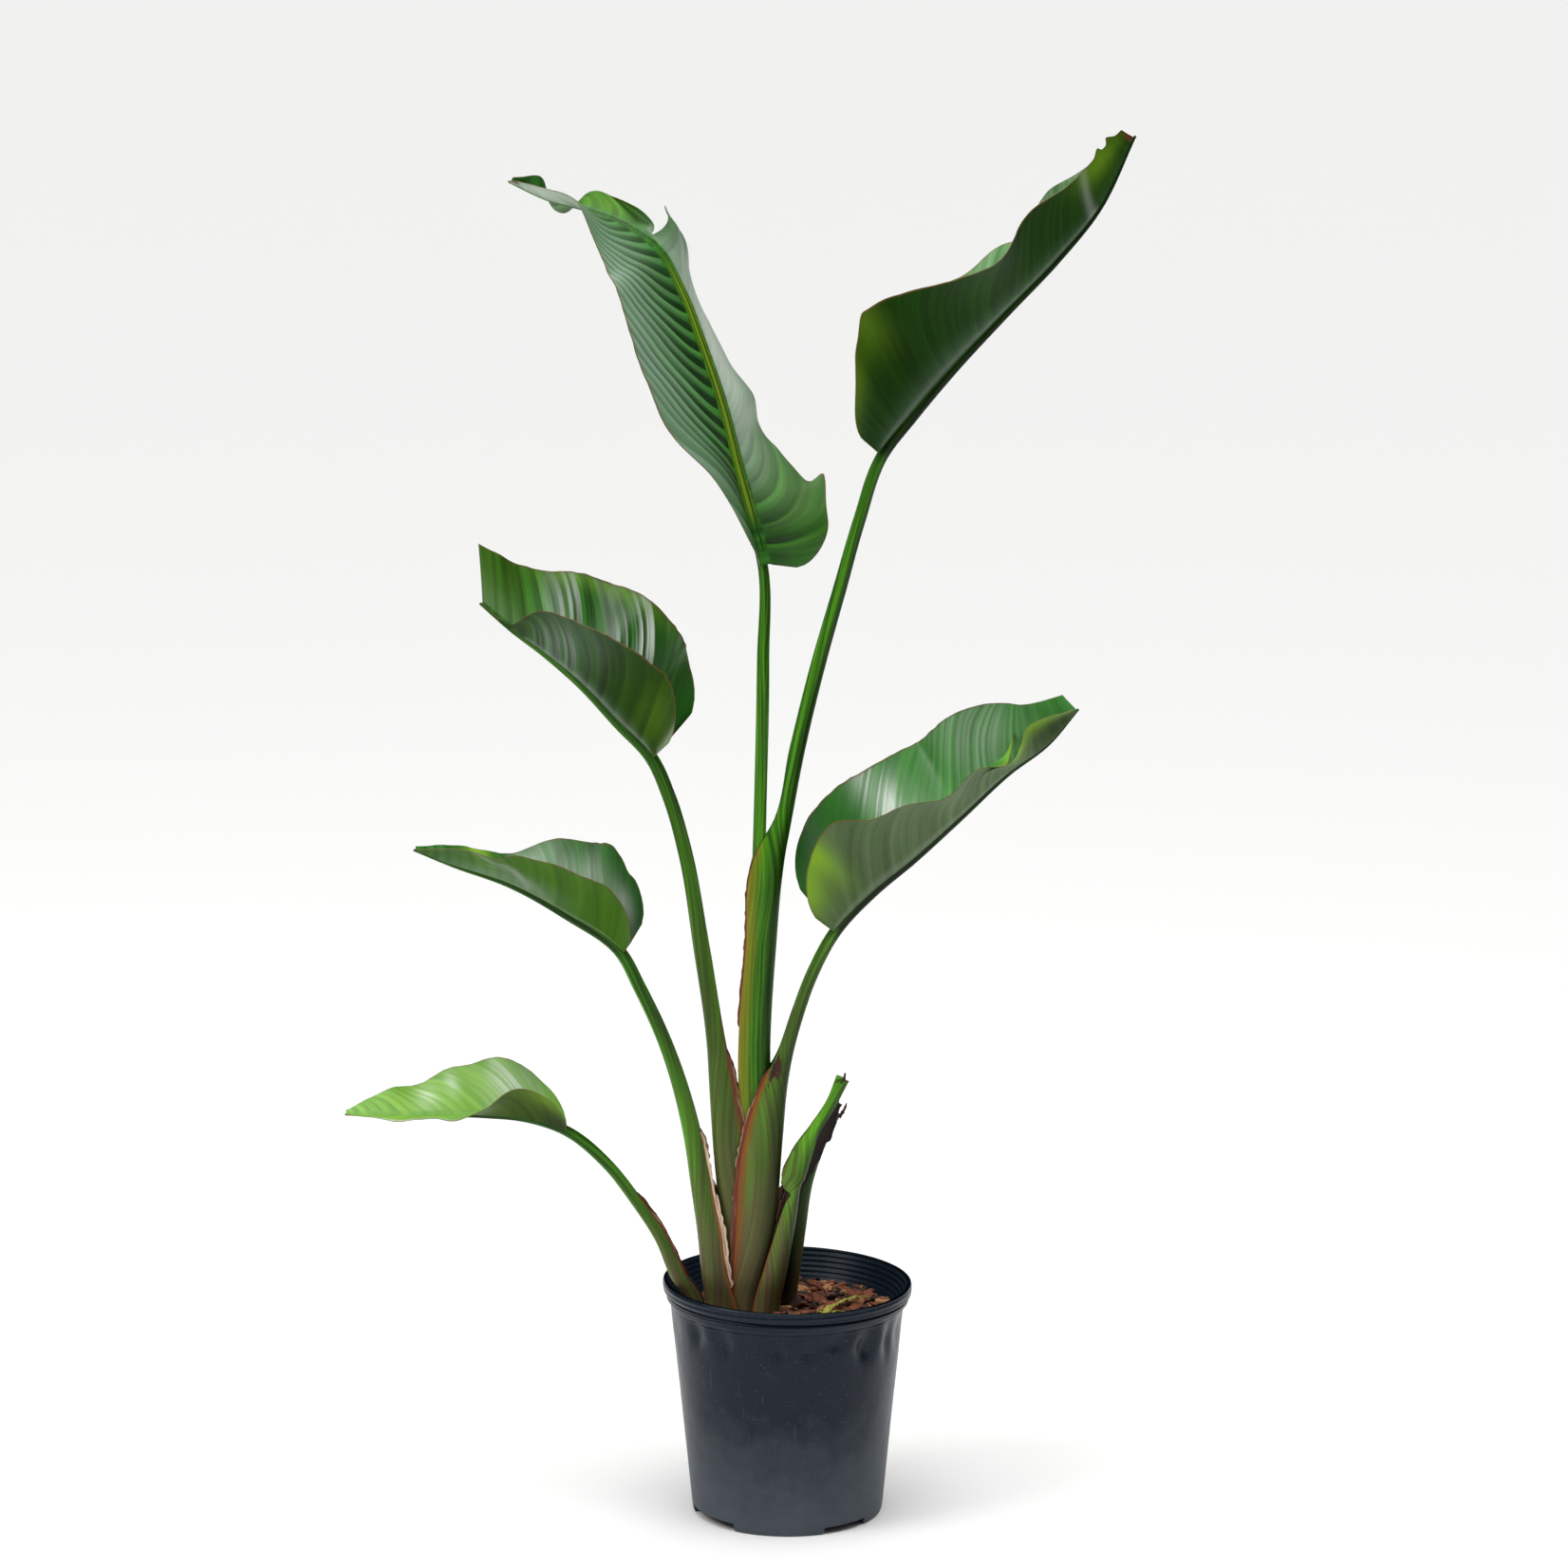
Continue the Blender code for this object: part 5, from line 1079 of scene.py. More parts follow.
def build_scrap(settings):
    """The fallen scrap on the bark: a bent strip of fresh leaf with a short branch, and a dry twig across it."""
    made, tree, shader = new_material("fresh_leaf_scrap", {"Roughness": 0.55})
    place = add_node(tree, "TexCoord").outputs["Object"]
    # Fresh tissue that browns in patches of 3 to 5 mm.
    patch = add_node(tree, "TexNoise", {"Vector": place, "Scale": 260.0, "Detail": 3.0}).outputs["Fac"]
    patch = add_node(tree, "MapRange", {"Value": patch, "From Min": 0.4, "From Max": 0.68}).outputs[0]
    brown = tuple(0.35 * value for value in settings.bark_tan)
    mixed = add_node(tree, "Mix", {0: patch, 6: (*settings.scrap, 1), 7: (*brown, 1)}, data_type="RGBA")
    tree.links.new(mixed.outputs[2], shader.inputs["Base Color"])
    lay_strips("fallen_scrap", SCRAP, 0.9 * MM, LYING, made, "leaf_scrap", "fallen_leaf_scrap")
    lay_strips("loose_strands", STRANDS, 0.9 * MM, LYING, made, "leaf_scrap")


# How far the rim leans, as a share of the distance from the axis, and the radius and height of the shoulder in mm.
RIM_LEAN = 0.018
SHOULDER = (119.4, 221.5)
# Notches at the foot: angle from the right in degrees, and breadth in mm.
NOTCHES = ((45, 30), (135, 30), (214, 74), (308, 52))
# Finger dents in the wall: angle from the right in degrees, height and depth in mm, half breadth in degrees and
# half height in mm. A depth below zero bulges out.
DENTS = (
    (-48, 196, 6.5, 6, 14), (-38, 204, -2.4, 5, 13), (-66, 206, 3.0, 6, 8), (-57, 204, -1.5, 4, 9),
    (-15, 198, 4.2, 11, 20), (-29, 196, 3.5, 4, 18), (-95, 202, 3.0, 4, 11), (-104, 198, -1.4, 4, 12),
    (-80, 200, 2.4, 4, 9), (-122, 200, 2.6, 4, 10), (-132, 206, -1.6, 4, 9), (-142, 205, 4.0, 4, 12),
    (-165, 200, 1.8, 8, 14), (-20, 120, 1.2, 16, 60), (-60, 90, 0.8, 12, 50), (-130, 130, -0.8, 16, 60),
    (22, 202, 3.2, 9, 14), (58, 197, 3.8, 8, 13), (95, 205, 3.0, 10, 11), (131, 195, 3.6, 9, 15),
    (158, 204, 2.4, 7, 10),
)


def pot_warp(points, settings):
    """Moves points of the wall as soft plastic sits: dents below the rim, a faint oval and a lean of the rim."""
    x, y, z = points[..., 0], points[..., 1], points[..., 2]
    angle = np.arctan2(y, x)
    push = np.zeros(x.shape)
    for at, high, depth, breadth, reach in DENTS:
        apart = np.remainder(angle - math.radians(at) + math.pi, 2 * math.pi) - math.pi
        push -= depth * MM * np.exp(-((apart / math.radians(breadth)) ** 2) - ((z - high * MM) / (reach * MM)) ** 2)
    # Small crumples stand 7 degrees apart round the top of the wall, and the stiff rim has neither dents nor crumples.
    push += 0.8 * MM * folds(np.degrees(angle) + 180, 7, 43) * np.exp(-(((z - 202 * MM) / (22 * MM)) ** 2))
    push = push * (1 - smooth(216 * MM, 226 * MM, z))
    # The whole pot is a faint oval, uneven all round, but its foot stands true.
    push += 0.8 * MM * np.cos(2 * angle + 0.7) * smooth(0, settings.height, z)
    push += 0.35 * MM * folds(np.degrees(angle) + 180, 45, 41) * smooth(0, 0.3 * settings.height, z)
    share = 1 + push * smooth(20 * MM, 90 * MM, z) / (SHOULDER[0] * MM)
    return np.stack([x * share, y * share, z - RIM_LEAN * x * (z / settings.height) ** 3], axis=-1)


def wall_radius(z, settings):
    """Outer radius of the plain wall at a height."""
    return settings.base_radius + (SHOULDER[0] * MM - settings.base_radius) * z / (SHOULDER[1] * MM)


def turned(name, profile, steps, settings, bend=None):
    """A solid of revolution: a grid laid round the axis along a profile of radii and heights, warped and welded."""
    profile = np.array(profile)
    angle = np.linspace(0.5 * math.pi, 2.5 * math.pi, steps + 1)
    radius, height = profile[:, :1], profile[:, 1:]
    points = np.stack([radius * np.cos(angle), radius * np.sin(angle), height * np.ones(steps + 1)], axis=-1)
    points[:, -1] = points[:, 0]
    points = pot_warp(points, settings)
    if bend:
        points = bend(points)
    run = np.concatenate([[0.0], np.cumsum(np.linalg.norm(np.diff(profile, axis=0), axis=1))])
    around = np.broadcast_to(angle * settings.rim_radius, points.shape[:2])
    along_it = np.broadcast_to(run[:, None], points.shape[:2])
    piece = laid_grid(name, points, {"run": np.stack([around, along_it], axis=-1)})
    weld(piece)
    return piece


def rounded(rows, radius, turns=4):
    """Rows of radii and heights with each inner corner rounded off by short steps."""
    rows = [np.array(row, float) for row in rows]
    made = [rows[0]]
    for before, corner, after in zip(rows, rows[1:], rows[2:]):
        to_before, to_after = before - corner, after - corner
        reach = min(radius, 0.45 * np.linalg.norm(to_before), 0.45 * np.linalg.norm(to_after))
        start = corner + to_before / np.linalg.norm(to_before) * reach
        end = corner + to_after / np.linalg.norm(to_after) * reach
        for t in np.linspace(0, 1, turns):
            made.append((1 - t) ** 2 * start + 2 * t * (1 - t) * corner + t * t * end)
    made.append(rows[-1])
    return made


def build_pot(settings):
    """The nursery pot: one moulded shell with a rolled rim, a stepped shoulder and notches at the foot."""
    rim, high, wall, base = settings.rim_radius, settings.height, settings.wall, settings.base_radius
    shoulder, top = SHOULDER[0] * MM, SHOULDER[1] * MM
    outside = [(wall_radius(z, settings), z) for z in np.linspace(216 * MM, 8 * MM, 90)[::-1]]
    inside = [(radius - wall, z) for radius, z in outside[::-1]]
    # The rim, up its outer side and down its inner side, in mm inside its radius and below its top.
    outer, inner = ([(rim - inward * MM, high - below * MM) for inward, below in rows] for rows in (
        ((6.6, 20.2), (3.4, 19), (2.8, 14.2), (4.6, 13.4), (4.4, 12.2), (0.9, 11.6), (0.2, 9), (0, 3), (0.6, 0.6),
         (2.6, 0)),
        ((4.2, 0.5), (5.0, 2.6), (4.8, 6.5), (6.8, 8), (5.4, 12), (9.0, 14), (7.6, 18))))
    step = [(shoulder - wall - 1.4 * MM, high - 19.5 * MM), (shoulder - wall, top - 1 * MM),
            (shoulder - wall - 1.2 * MM, 217.5 * MM), (shoulder - wall - 0.2 * MM, 216 * MM)]
    # The profile starts in the middle of the sole, which is raised a little inside a ring that it stands on.
    piece = turned("nursery_pot", [
        (0.0, 1.4 * MM), (base * 0.5, 1.2 * MM), (base - 16 * MM, 0.9 * MM), (base - 9 * MM, 0.0),
        (base - 3 * MM, 0.0), (base - 0.9 * MM, 0.7 * MM), (base, 3 * MM), *outside,
        # Known fault: the last point of the outer side stands twice, so its rounding has no size. The rim stays open
        # there, and stray faces run from it to the origin. One outer[-1] less mends it.
        *rounded([outside[-1], (shoulder + 0.2 * MM, top - 1.5 * MM), *outer, outer[-1]], 1.1 * MM)[1:],
        *rounded([*inner, *step, inside[0]], 0.9 * MM)[:-1],
        *inside, (base - wall - 1.4 * MM, 3.4 * MM), (base - 12 * MM, 2.8 * MM), (0.0, 3.0 * MM)], 300, settings)
    for at, breadth in NOTCHES:
        angle = math.radians(at)
        bpy.ops.object.select_all(action="DESELECT")
        bpy.ops.mesh.primitive_cube_add(
            size=1, location=(base * math.cos(angle), base * math.sin(angle), 1.5 * MM),
            rotation=(0, 0, angle + math.pi / 2), scale=(breadth * MM, 26 * MM, (6 + breadth / 9) * MM))
        cutter = bpy.context.object
        modifier = piece.modifiers.new("Notch", "BOOLEAN")
        modifier.object = cutter
        modifier.solver = "EXACT"
        apply_modifiers(piece)
        bpy.data.objects.remove(cutter)
    shade(piece, 40)
    piece.data.materials.append(pot_plastic(settings))
    seat(piece, "pot_plastic", "pot")


def pot_plastic(settings):
    """Blow-moulded polyethylene: satin, slightly uneven, lighter towards the foot, with thin scratches and specks of
    dust.
    """
    made, tree, shader = new_material("satin_slate_polyethylene", {"IOR": 1.5, "Specular IOR Level": 0.2})
    place = add_node(tree, "TexCoord").outputs["Object"]
    run = add_node(tree, "UVMap", uv_map="run").outputs["UV"]
    height = add_node(tree, "SeparateXYZ", {0: place}).outputs["Z"]
    # Cloudy lighter patches, 20 to 60 mm across, that grow towards the foot.
    cloud = add_node(tree, "TexNoise", {"Vector": place, "Scale": 36.0, "Detail": 8.0, "Roughness": 0.7}).outputs["Fac"]
    low = add_node(tree, "MapRange", {"Value": height, "From Min": 0.0, "From Max": 0.14, "To Min": 0.75,
                                      "To Max": -0.05})
    cloud = add_node(tree, "Math", {0: cloud, 1: 0.6, 2: low.outputs[0]}, operation="MULTIPLY_ADD").outputs[0]
    worn = add_node(tree, "MapRange", {"Value": cloud, "From Min": 0.3, "From Max": 1.25, "To Max": 0.8}).outputs[0]
    # Thin scratches, under 1 mm wide, that run round and up the wall, and pale specks of dust about 1 mm across.
    for mark, low, high, strength in (
            (streaks(tree, run, (30, 900), 2.0, Rotation=(0, 0, 0.12)), 0.69, 0.76, 0.44),
            (streaks(tree, run, (700, 26), 2.0, Rotation=(0, 0, -0.08)), 0.69, 0.76, 0.44),
            (add_node(tree, "TexNoise", {"Vector": place, "Scale": 700.0, "Detail": 1.0}).outputs["Fac"],
             0.72, 0.78, 0.7)):
        mark = add_node(tree, "MapRange", {"Value": mark, "From Min": low, "From Max": high, "To Max": strength})
        worn = add_node(tree, "Math", {0: worn, 1: mark.outputs[0]}, operation="MAXIMUM").outputs[0]
    mixed = add_node(tree, "Mix", {0: worn, 6: (*settings.slate, 1), 7: (*settings.scuffed, 1)}, data_type="RGBA")
    tree.links.new(mixed.outputs[2], shader.inputs["Base Color"])
    gloss = add_node(tree, "MapRange", {"Value": worn, "To Min": 0.32, "To Max": 0.6})
    tree.links.new(gloss.outputs[0], shader.inputs["Roughness"])
    # The moulded skin is uneven over 20 mm and more, and faint rings run 5 mm apart inside the mouth.
    skin = add_node(tree, "TexNoise", {"Vector": place, "Scale": 45.0, "Detail": 5.0, "Roughness": 0.5}).outputs["Fac"]
    ring = add_node(tree, "Math", {0: height, 1: 2 * math.pi / (5 * MM)}, operation="MULTIPLY").outputs[0]
    ring = add_node(tree, "Math", {0: ring}, operation="SINE").outputs[0]
    mouth = add_node(tree, "MapRange", {"Value": height, "From Min": 0.214, "From Max": 0.217}).outputs[0]
    ring = add_node(tree, "Math", {0: ring, 1: mouth}, operation="MULTIPLY").outputs[0]
    before = {}
    for source, strength, depth in ((skin, 0.35, 2.2 * MM), (worn, 0.2, 0.3 * MM), (ring, 0.5, 0.6 * MM)):
        bump = add_node(tree, "Bump", {"Height": source, "Strength": strength, "Distance": depth, **before})
        before = {"Normal": bump.outputs[0]}
    tree.links.new(bump.outputs[0], shader.inputs["Normal"])
    return made


# The mound of soil round the stalks, and the radii between which the soil falls away towards the wall.
MOUND_CENTRE, MOUND_HEIGHT, MOUND_BREADTH = (-40 * MM, -32 * MM), 4 * MM, 55 * MM
SOIL_FALL = (100 * MM, 114 * MM)
# The soil's gap to the wall, the height of its foot, and the flat height from which its rough top is raised.
SOIL_GAP, SOIL_FOOT, SOIL_FLAT = 1.1 * MM, 4.4 * MM, 209 * MM


def soil_height(x, y, settings):
    """Height of the soil between the chips: a low mound round the stalks with small bumps."""
    apart = (x - MOUND_CENTRE[0]) ** 2 + (y - MOUND_CENTRE[1]) ** 2
    bumps = 1.3 * MM * np.sin(x / (9 * MM) + 1.2) * np.cos(y / (8 * MM) - 0.4)
    return settings.top - 1.5 * MM + MOUND_HEIGHT * np.exp(-apart / MOUND_BREADTH**2) + bumps


def build_soil(settings, pot):
    """The damp soil that fills the pot: its rough top shows between the chips."""
    wall = pot.wall + SOIL_GAP
    profile = [(0.0, SOIL_FOOT), (pot.base_radius - wall - 8 * MM, SOIL_FOOT)]
    profile += [(wall_radius(z, pot) - wall, z) for z in np.linspace(204 * MM, 8 * MM, 24)[::-1]]
    edge = wall_radius(SOIL_FLAT, pot) - wall - 0.5 * MM
    profile += [(radius, SOIL_FLAT) for radius in np.linspace(0, edge, 46)[::-1]]

    def bend(points):
        x, y, z = points[..., 0], points[..., 1], points[..., 2]
        rough = 1.4 * MM * folds(x / MM + 300, 5, 51) * folds(y / MM + 300, 6, 52)
        raised = soil_height(x, y, settings) + rough - 3 * MM * smooth(*SOIL_FALL, np.hypot(x, y))
        return np.stack([x, y, np.where(z > SOIL_FLAT - 4 * MM, raised, z)], axis=-1)

    piece = turned("bark_soil", profile, 200, pot, bend)
    shade(piece, 60)
    made, tree, shader = new_material("damp_peat", {"Roughness": 0.9})
    place = add_node(tree, "TexCoord").outputs["Object"]
    # Crumbs of 2 to 3 mm.
    crumb = add_node(tree, "TexNoise", {"Vector": place, "Scale": 420.0, "Detail": 5.0}).outputs["Fac"]
    dark = tuple(0.4 * value for value in settings.peat)
    mixed = add_node(tree, "Mix", {0: crumb, 6: (*dark, 1), 7: (*settings.bark_dark, 1)}, data_type="RGBA")
    dress(tree, shader, mixed.outputs[2], crumb, 0.9, 2 * MM)
    piece.data.materials.append(made)
    seat(piece, "bark_soil", "soil")


# Footprints of the stalks at the soil: centre x, centre y, half length and half breadth, in mm.
FEET = ((-45, -32, 34, 15), (-94, -32, 6, 6), (1.5, 3, 6, 6))
CHIP_SHAPES = 7


def chip_shapes():
    """A few bark chips, each a small split block roughened in edit mode."""
    shapes = []
    for k in range(CHIP_SHAPES):
        draw = np.random.default_rng(70 + k)
        bpy.ops.object.select_all(action="DESELECT")
        bpy.ops.mesh.primitive_cube_add(size=1)
        piece = bpy.context.object
        bpy.ops.object.mode_set(mode="EDIT")
        bpy.ops.mesh.subdivide(number_cuts=1)
        bpy.ops.object.mode_set(mode="OBJECT")
        size = np.array((1.0, draw.uniform(0.32, 0.7), draw.uniform(0.14, 0.34)))
        for vert in piece.data.vertices:
            # Edges are worn down, and corners twice as much.
            corner = np.array(vert.co)
            blunt = 1 - 0.16 * (np.count_nonzero(np.abs(corner) > 0.4) - 1)
            vert.co = corner * blunt * size * draw.uniform(0.78, 1.18, 3)
        shapes.append(piece)
    return shapes


def build_chips(settings, pot):
    """Bark chips that cover the soil: a few shapes copied at all angles, each copy with a tint of its own."""
    shapes = chip_shapes()
    draw = np.random.default_rng(5)
    reach = wall_radius(settings.top, pot) - pot.wall - 10 * MM
    made = []
    while len(made) < settings.chip_count:
        radius, angle = reach * math.sqrt(draw.random()), draw.uniform(0, 2 * math.pi)
        x, y = radius * math.cos(angle), radius * math.sin(angle)
        if any(((x / MM - cx) / a) ** 2 + ((y / MM - cy) / b) ** 2 < 1 for cx, cy, a, b in FEET):
            continue
        shape = shapes[int(draw.integers(len(shapes)))]
        piece = shape.copy()
        piece.data = shape.data.copy()
        bpy.context.scene.collection.objects.link(piece)
        # Small chips are the commonest, and those beside the wall are short enough to stay clear of it.
        size = settings.chip_length * float(draw.uniform(0.45, 1.0) ** 1.4 * 1.75)
        size = min(size, 1.8 * (reach - radius) + 10 * MM)
        level = float(draw.uniform(-4.0, 2.4)) * MM - 2.5 * MM * float(smooth(*SOIL_FALL, radius))
        lean = (float(draw.normal(0, 0.4)), float(draw.normal(0, 0.35)), float(draw.uniform(0, math.pi)))
        height = float(soil_height(x, y, settings))
        piece.data.transform(Matrix.LocRotScale(Vector((x, y, height + level)), Euler(lean), Vector((size,) * 3)))
        tint = piece.data.attributes.new("tint", "FLOAT", "POINT")
        tint.data.foreach_set("value", [float(draw.random())] * len(piece.data.vertices))
        made.append(piece)
    for shape in shapes:
        bpy.data.objects.remove(shape)
    piece = join(made, "bark_chips")
    shade(piece, 35)
    piece.data.materials.append(bark(settings))
    seat(piece, "bark_soil")


def bark(settings):
    """Shredded bark: matt, each chip its own brown, with dark pores and pale fibres along it."""
    made, tree, shader = new_material("shredded_bark", {"Roughness": 0.82})
    place = add_node(tree, "TexCoord").outputs["Object"]
    ramp = add_node(tree, "ValToRGB", {0: add_node(tree, "Attribute", attribute_name="tint").outputs["Fac"]})
    tones = ((0.0, settings.peat), (0.3, settings.bark_dark), (0.55, settings.bark_red), (0.8, settings.bark_red),
             (1.0, settings.bark_tan))
    for k, (at, tone) in enumerate(tones):
        stop = ramp.color_ramp.elements[k] if k < 2 else ramp.color_ramp.elements.new(at)
        stop.position = at
        stop.color = (*tone, 1)
    # Pores and fibres of 1 to 2 mm.
    grain = add_node(tree, "TexNoise", {"Vector": place, "Scale": 600.0, "Detail": 5.0}).outputs["Fac"]
    gain = add_node(tree, "MapRange", {"Value": grain, "From Min": 0.32, "From Max": 0.7, "To Min": 0.3,
                                       "To Max": 1.25}).outputs[0]
    shaded = add_node(tree, "VectorMath", {0: ramp.outputs[0], 3: gain}, operation="SCALE").outputs[0]
    dress(tree, shader, shaded, grain, 0.8, 1 * MM)
    return made


# Large square lights: name, setting that holds the power, breadth in m, place, and the point that it faces.
LIGHTS = (
    ("key_light", "key_power", 1.5, (-2.4, -1.3, 2.6), (0, 0, 0.75)),
    ("fill_light", "fill_power", 1.5, (2.2, -1.6, 2.8), (0, 0, 0.8)),
    ("top_light", "top_power", 1.2, (0.1, -0.5, 3.0), (0, 0, 0.8)),
)
FLOOR_SIZE = 140
# The photograph's camera: its place in m, how far it looks down and turns, and its lens and sensor in mm.
CAMERA_PLACE = (0, -5, 1.70)
CAMERA_DOWN, CAMERA_TURN = math.radians(10.66), 0.0007
CAMERA_LENS, CAMERA_SENSOR = 116.19, 36


def build_stage(settings):
    """A plain pale floor, soft studio lights and a camera at the photograph's angle."""
    bpy.ops.object.select_all(action="DESELECT")
    bpy.ops.mesh.primitive_plane_add(size=FLOOR_SIZE)
    floor = bpy.context.object
    floor.name = floor.data.name = "studio_floor"
    made, tree, shader = new_material("matt_pale_floor", {"Base Color": (*settings.floor, 1), "Roughness": 0.85})
    place = add_node(tree, "TexCoord").outputs["Object"]
    grain = add_node(tree, "TexNoise", {"Vector": place, "Scale": 300.0, "Detail": 2.0})
    bump = add_node(tree, "Bump", {"Height": grain.outputs["Fac"], "Strength": 0.05, "Distance": 0.2 * MM})
    tree.links.new(bump.outputs[0], shader.inputs["Normal"])
    floor.data.materials.append(made)
    for name, power, size, place, aim in LIGHTS:
        turn = (Vector(aim) - Vector(place)).to_track_quat("-Z", "Y").to_euler()
        bpy.ops.object.light_add(type="AREA", location=place, rotation=turn)
        light = bpy.context.object
        light.name = light.data.name = name
        light.data.energy = getattr(settings, power)
        light.data.size = size
    world = bpy.data.worlds.new("white_studio")
    world.use_nodes = True
    tree = world.node_tree
    sky = tree.nodes["Background"]
    sky.inputs["Color"].default_value = (1, 1, 1, 1)
    # The surroundings light the plant softly from overhead and stay dim near the horizon.
    up = add_node(tree, "SeparateXYZ", {0: add_node(tree, "TexCoord").outputs["Generated"]}).outputs["Z"]
    strength = add_node(tree, "MapRange", {"Value": up, "From Min": 0.68, "From Max": 0.95, "To Min": settings.walls,
                                           "To Max": settings.dome}, interpolation_type="SMOOTHSTEP")
    # Where the camera sees them they are as pale as the floor, so no dark band stands above it in a low view.
    seen = add_node(tree, "LightPath").outputs["Is Camera Ray"]
    pale = add_node(tree, "Mix", {0: seen, 2: strength.outputs[0], 3: settings.backdrop})
    tree.links.new(pale.outputs[0], sky.inputs["Strength"])
    bpy.context.scene.world = world
    bpy.context.scene.view_settings.view_transform = "Standard"
    bpy.ops.object.camera_add(location=CAMERA_PLACE, rotation=(math.pi / 2 - CAMERA_DOWN, 0, CAMERA_TURN))
    camera = bpy.context.object
    camera.name = "photograph_camera"
    camera.data.lens = CAMERA_LENS
    camera.data.sensor_width = CAMERA_SENSOR
    bpy.context.scene.camera = camera


class PlantPotOperator(bpy.types.Operator):
    """Builds the moulded nursery pot"""

    bl_idname = "plant.build_pot"
    bl_label = "Nursery Pot"

    def execute(self, context):
        build_pot(context.scene.plant_pot)
        return {"FINISHED"}


class PlantSoilOperator(bpy.types.Operator):
    """Builds the soil that fills the pot"""

    bl_idname = "plant.build_soil"
    bl_label = "Bark Soil"

    def execute(self, context):
        build_soil(context.scene.plant_soil, context.scene.plant_pot)
        return {"FINISHED"}


class PlantChipsOperator(bpy.types.Operator):
    """Scatters the bark chips on the soil"""

    bl_idname = "plant.build_chips"
    bl_label = "Bark Chips"

    def execute(self, context):
        build_chips(context.scene.plant_soil, context.scene.plant_pot)
        return {"FINISHED"}


class PlantStalksOperator(bpy.types.Operator):
    """Builds the six leaf stalks with their sheaths and ribs"""

    bl_idname = "plant.build_stalks"
    bl_label = "Leaf Stalks"

    def execute(self, context):
        for leaf in LEAVES:
            name = leaf["name"]
            path, start = leaf_path(leaf)
            finish = stalk_skin(name, context.scene.plant_stalk, start * path.length)
            build_stalk(name + "_stalk_and_rib", name + "_stalk", path, leaf["side"], leaf_roll(leaf, start), finish)
        return {"FINISHED"}


class PlantDryEdgesOperator(bpy.types.Operator):
    """Builds the papery dried edges of the sheaths"""

    bl_idname = "plant.build_dry_edges"
    bl_label = "Dry Sheath Edges"

    def execute(self, context):
        settings = context.scene.plant_stalk
        for number, start, end, widest, bleached in DRY_EDGES:
            finish = dry_sheath(settings, bleached)
            for face, word in ((NEAR, "front"), (FAR, "back")):
                build_dry_edge(LEAVES[number], face, word, start, end, widest, finish)
        lay_strips("sheath_remains", REMAINS, 0.4 * MM, STANDING, dry_sheath(settings, 0.2, 0.3), "dry_sheath_edge")
        # The sheet between the stubs is a nearly black copy of the dry sheath, as painted shadow.
        lay_strips("blackened_lining", CHANNEL_SHADOW, 0.8 * MM, STANDING, dry_sheath(settings, 0.0, 0.06), "dry_sheath_edge")
        return {"FINISHED"}


class PlantStubsOperator(bpy.types.Operator):
    """Builds the two cut leaf stalks that lean to the right"""

    bl_idname = "plant.build_stubs"
    bl_label = "Cut Stubs"

    def execute(self, context):
        for name, rows in (("cut_stub_front", STUB_FRONT), ("cut_stub_back", STUB_BACK)):
            path = Path(np.array(rows) * MM)
            finish = stalk_skin(name, context.scene.plant_stalk)
            build_stalk(name + "_torn", name, path, RIGHT, np.zeros_like, finish, ragged=0.03)
        return {"FINISHED"}


class PlantLeavesOperator(bpy.types.Operator):
    """Builds the six leaf blades"""

    bl_idname = "plant.build_leaves"
    bl_label = "Leaf Blades"

    def execute(self, context):
        for leaf in LEAVES:
            build_blade(leaf, context.scene.plant_leaf)
        return {"FINISHED"}


class PlantScrapOperator(bpy.types.Operator):
    """Builds the scrap of leaf that lies on the bark"""

    bl_idname = "plant.build_scrap"
    bl_label = "Fallen Scrap"

    def execute(self, context):
        build_scrap(context.scene.plant_soil)
        return {"FINISHED"}


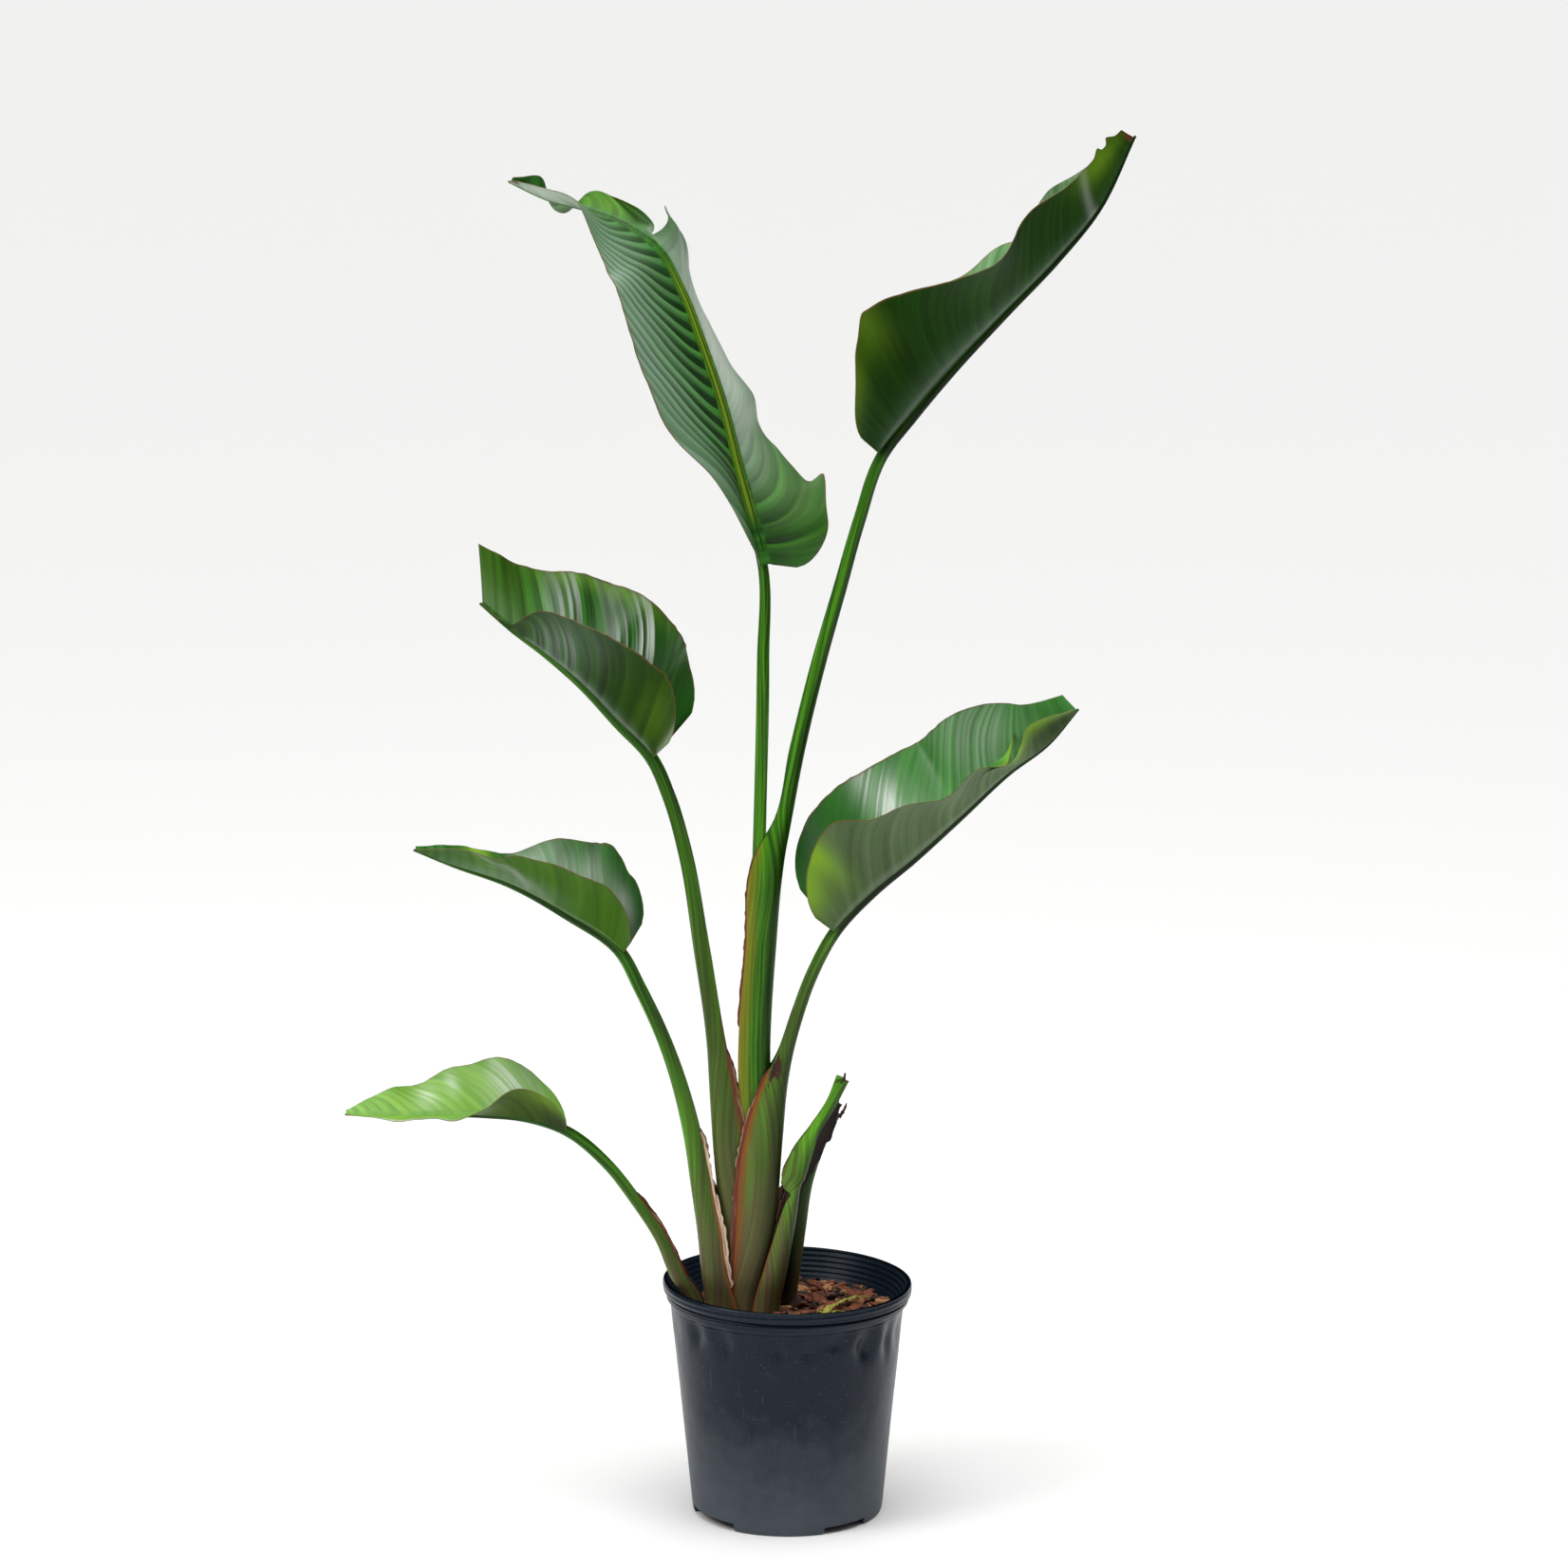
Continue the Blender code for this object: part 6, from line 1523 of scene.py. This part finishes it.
class PlantStageOperator(bpy.types.Operator):
    """Builds the floor, the lights and the camera"""

    bl_idname = "plant.build_stage"
    bl_label = "Studio Stage"

    def execute(self, context):
        build_stage(context.scene.plant_stage)
        return {"FINISHED"}


class PlantPanel(bpy.types.Panel):
    """Lists the pieces of the plant and their settings"""

    bl_idname = "VIEW3D_PT_plant"
    bl_label = "Potted Bird of Paradise"
    bl_space_type = "VIEW_3D"
    bl_region_type = "UI"
    bl_category = "Plant"

    def draw(self, context):
        for operators, settings in GROUPS:
            box = self.layout.box()
            for operator in operators:
                box.operator(operator.bl_idname)
            group = getattr(context.scene, settings)
            for name in group.bl_rna.properties.keys():
                if name not in ("rna_type", "name"):
                    box.prop(group, name)


SETTINGS = {
    "plant_pot": PlantPotSettings, "plant_soil": PlantSoilSettings, "plant_leaf": PlantLeafSettings,
    "plant_stalk": PlantStalkSettings, "plant_stage": PlantStageSettings,
}
GROUPS = (
    ((PlantPotOperator,), "plant_pot"),
    ((PlantSoilOperator, PlantChipsOperator, PlantScrapOperator), "plant_soil"),
    ((PlantStalksOperator, PlantStubsOperator, PlantDryEdgesOperator), "plant_stalk"),
    ((PlantLeavesOperator,), "plant_leaf"),
    ((PlantStageOperator,), "plant_stage"),
)
CLASSES = (*SETTINGS.values(), *(operator for operators, _ in GROUPS for operator in operators), PlantPanel)


def register():
    """Registers the classes and hangs the settings on the scene."""
    for made in CLASSES:
        bpy.utils.register_class(made)
    for name, made in SETTINGS.items():
        setattr(bpy.types.Scene, name, bpy.props.PointerProperty(type=made))


def unregister():
    """Takes back what register does."""
    for name in SETTINGS:
        delattr(bpy.types.Scene, name)
    for made in reversed(CLASSES):
        bpy.utils.unregister_class(made)


def main():
    """Builds the whole plant with its stage."""
    register()
    bpy.ops.plant.build_pot()
    bpy.ops.plant.build_soil()
    bpy.ops.plant.build_chips()
    bpy.ops.plant.build_scrap()
    bpy.ops.plant.build_stalks()
    bpy.ops.plant.build_stubs()
    bpy.ops.plant.build_dry_edges()
    bpy.ops.plant.build_leaves()
    bpy.ops.plant.build_stage()
    bpy.context.view_layer.update()


if __name__ == "__main__":
    main()
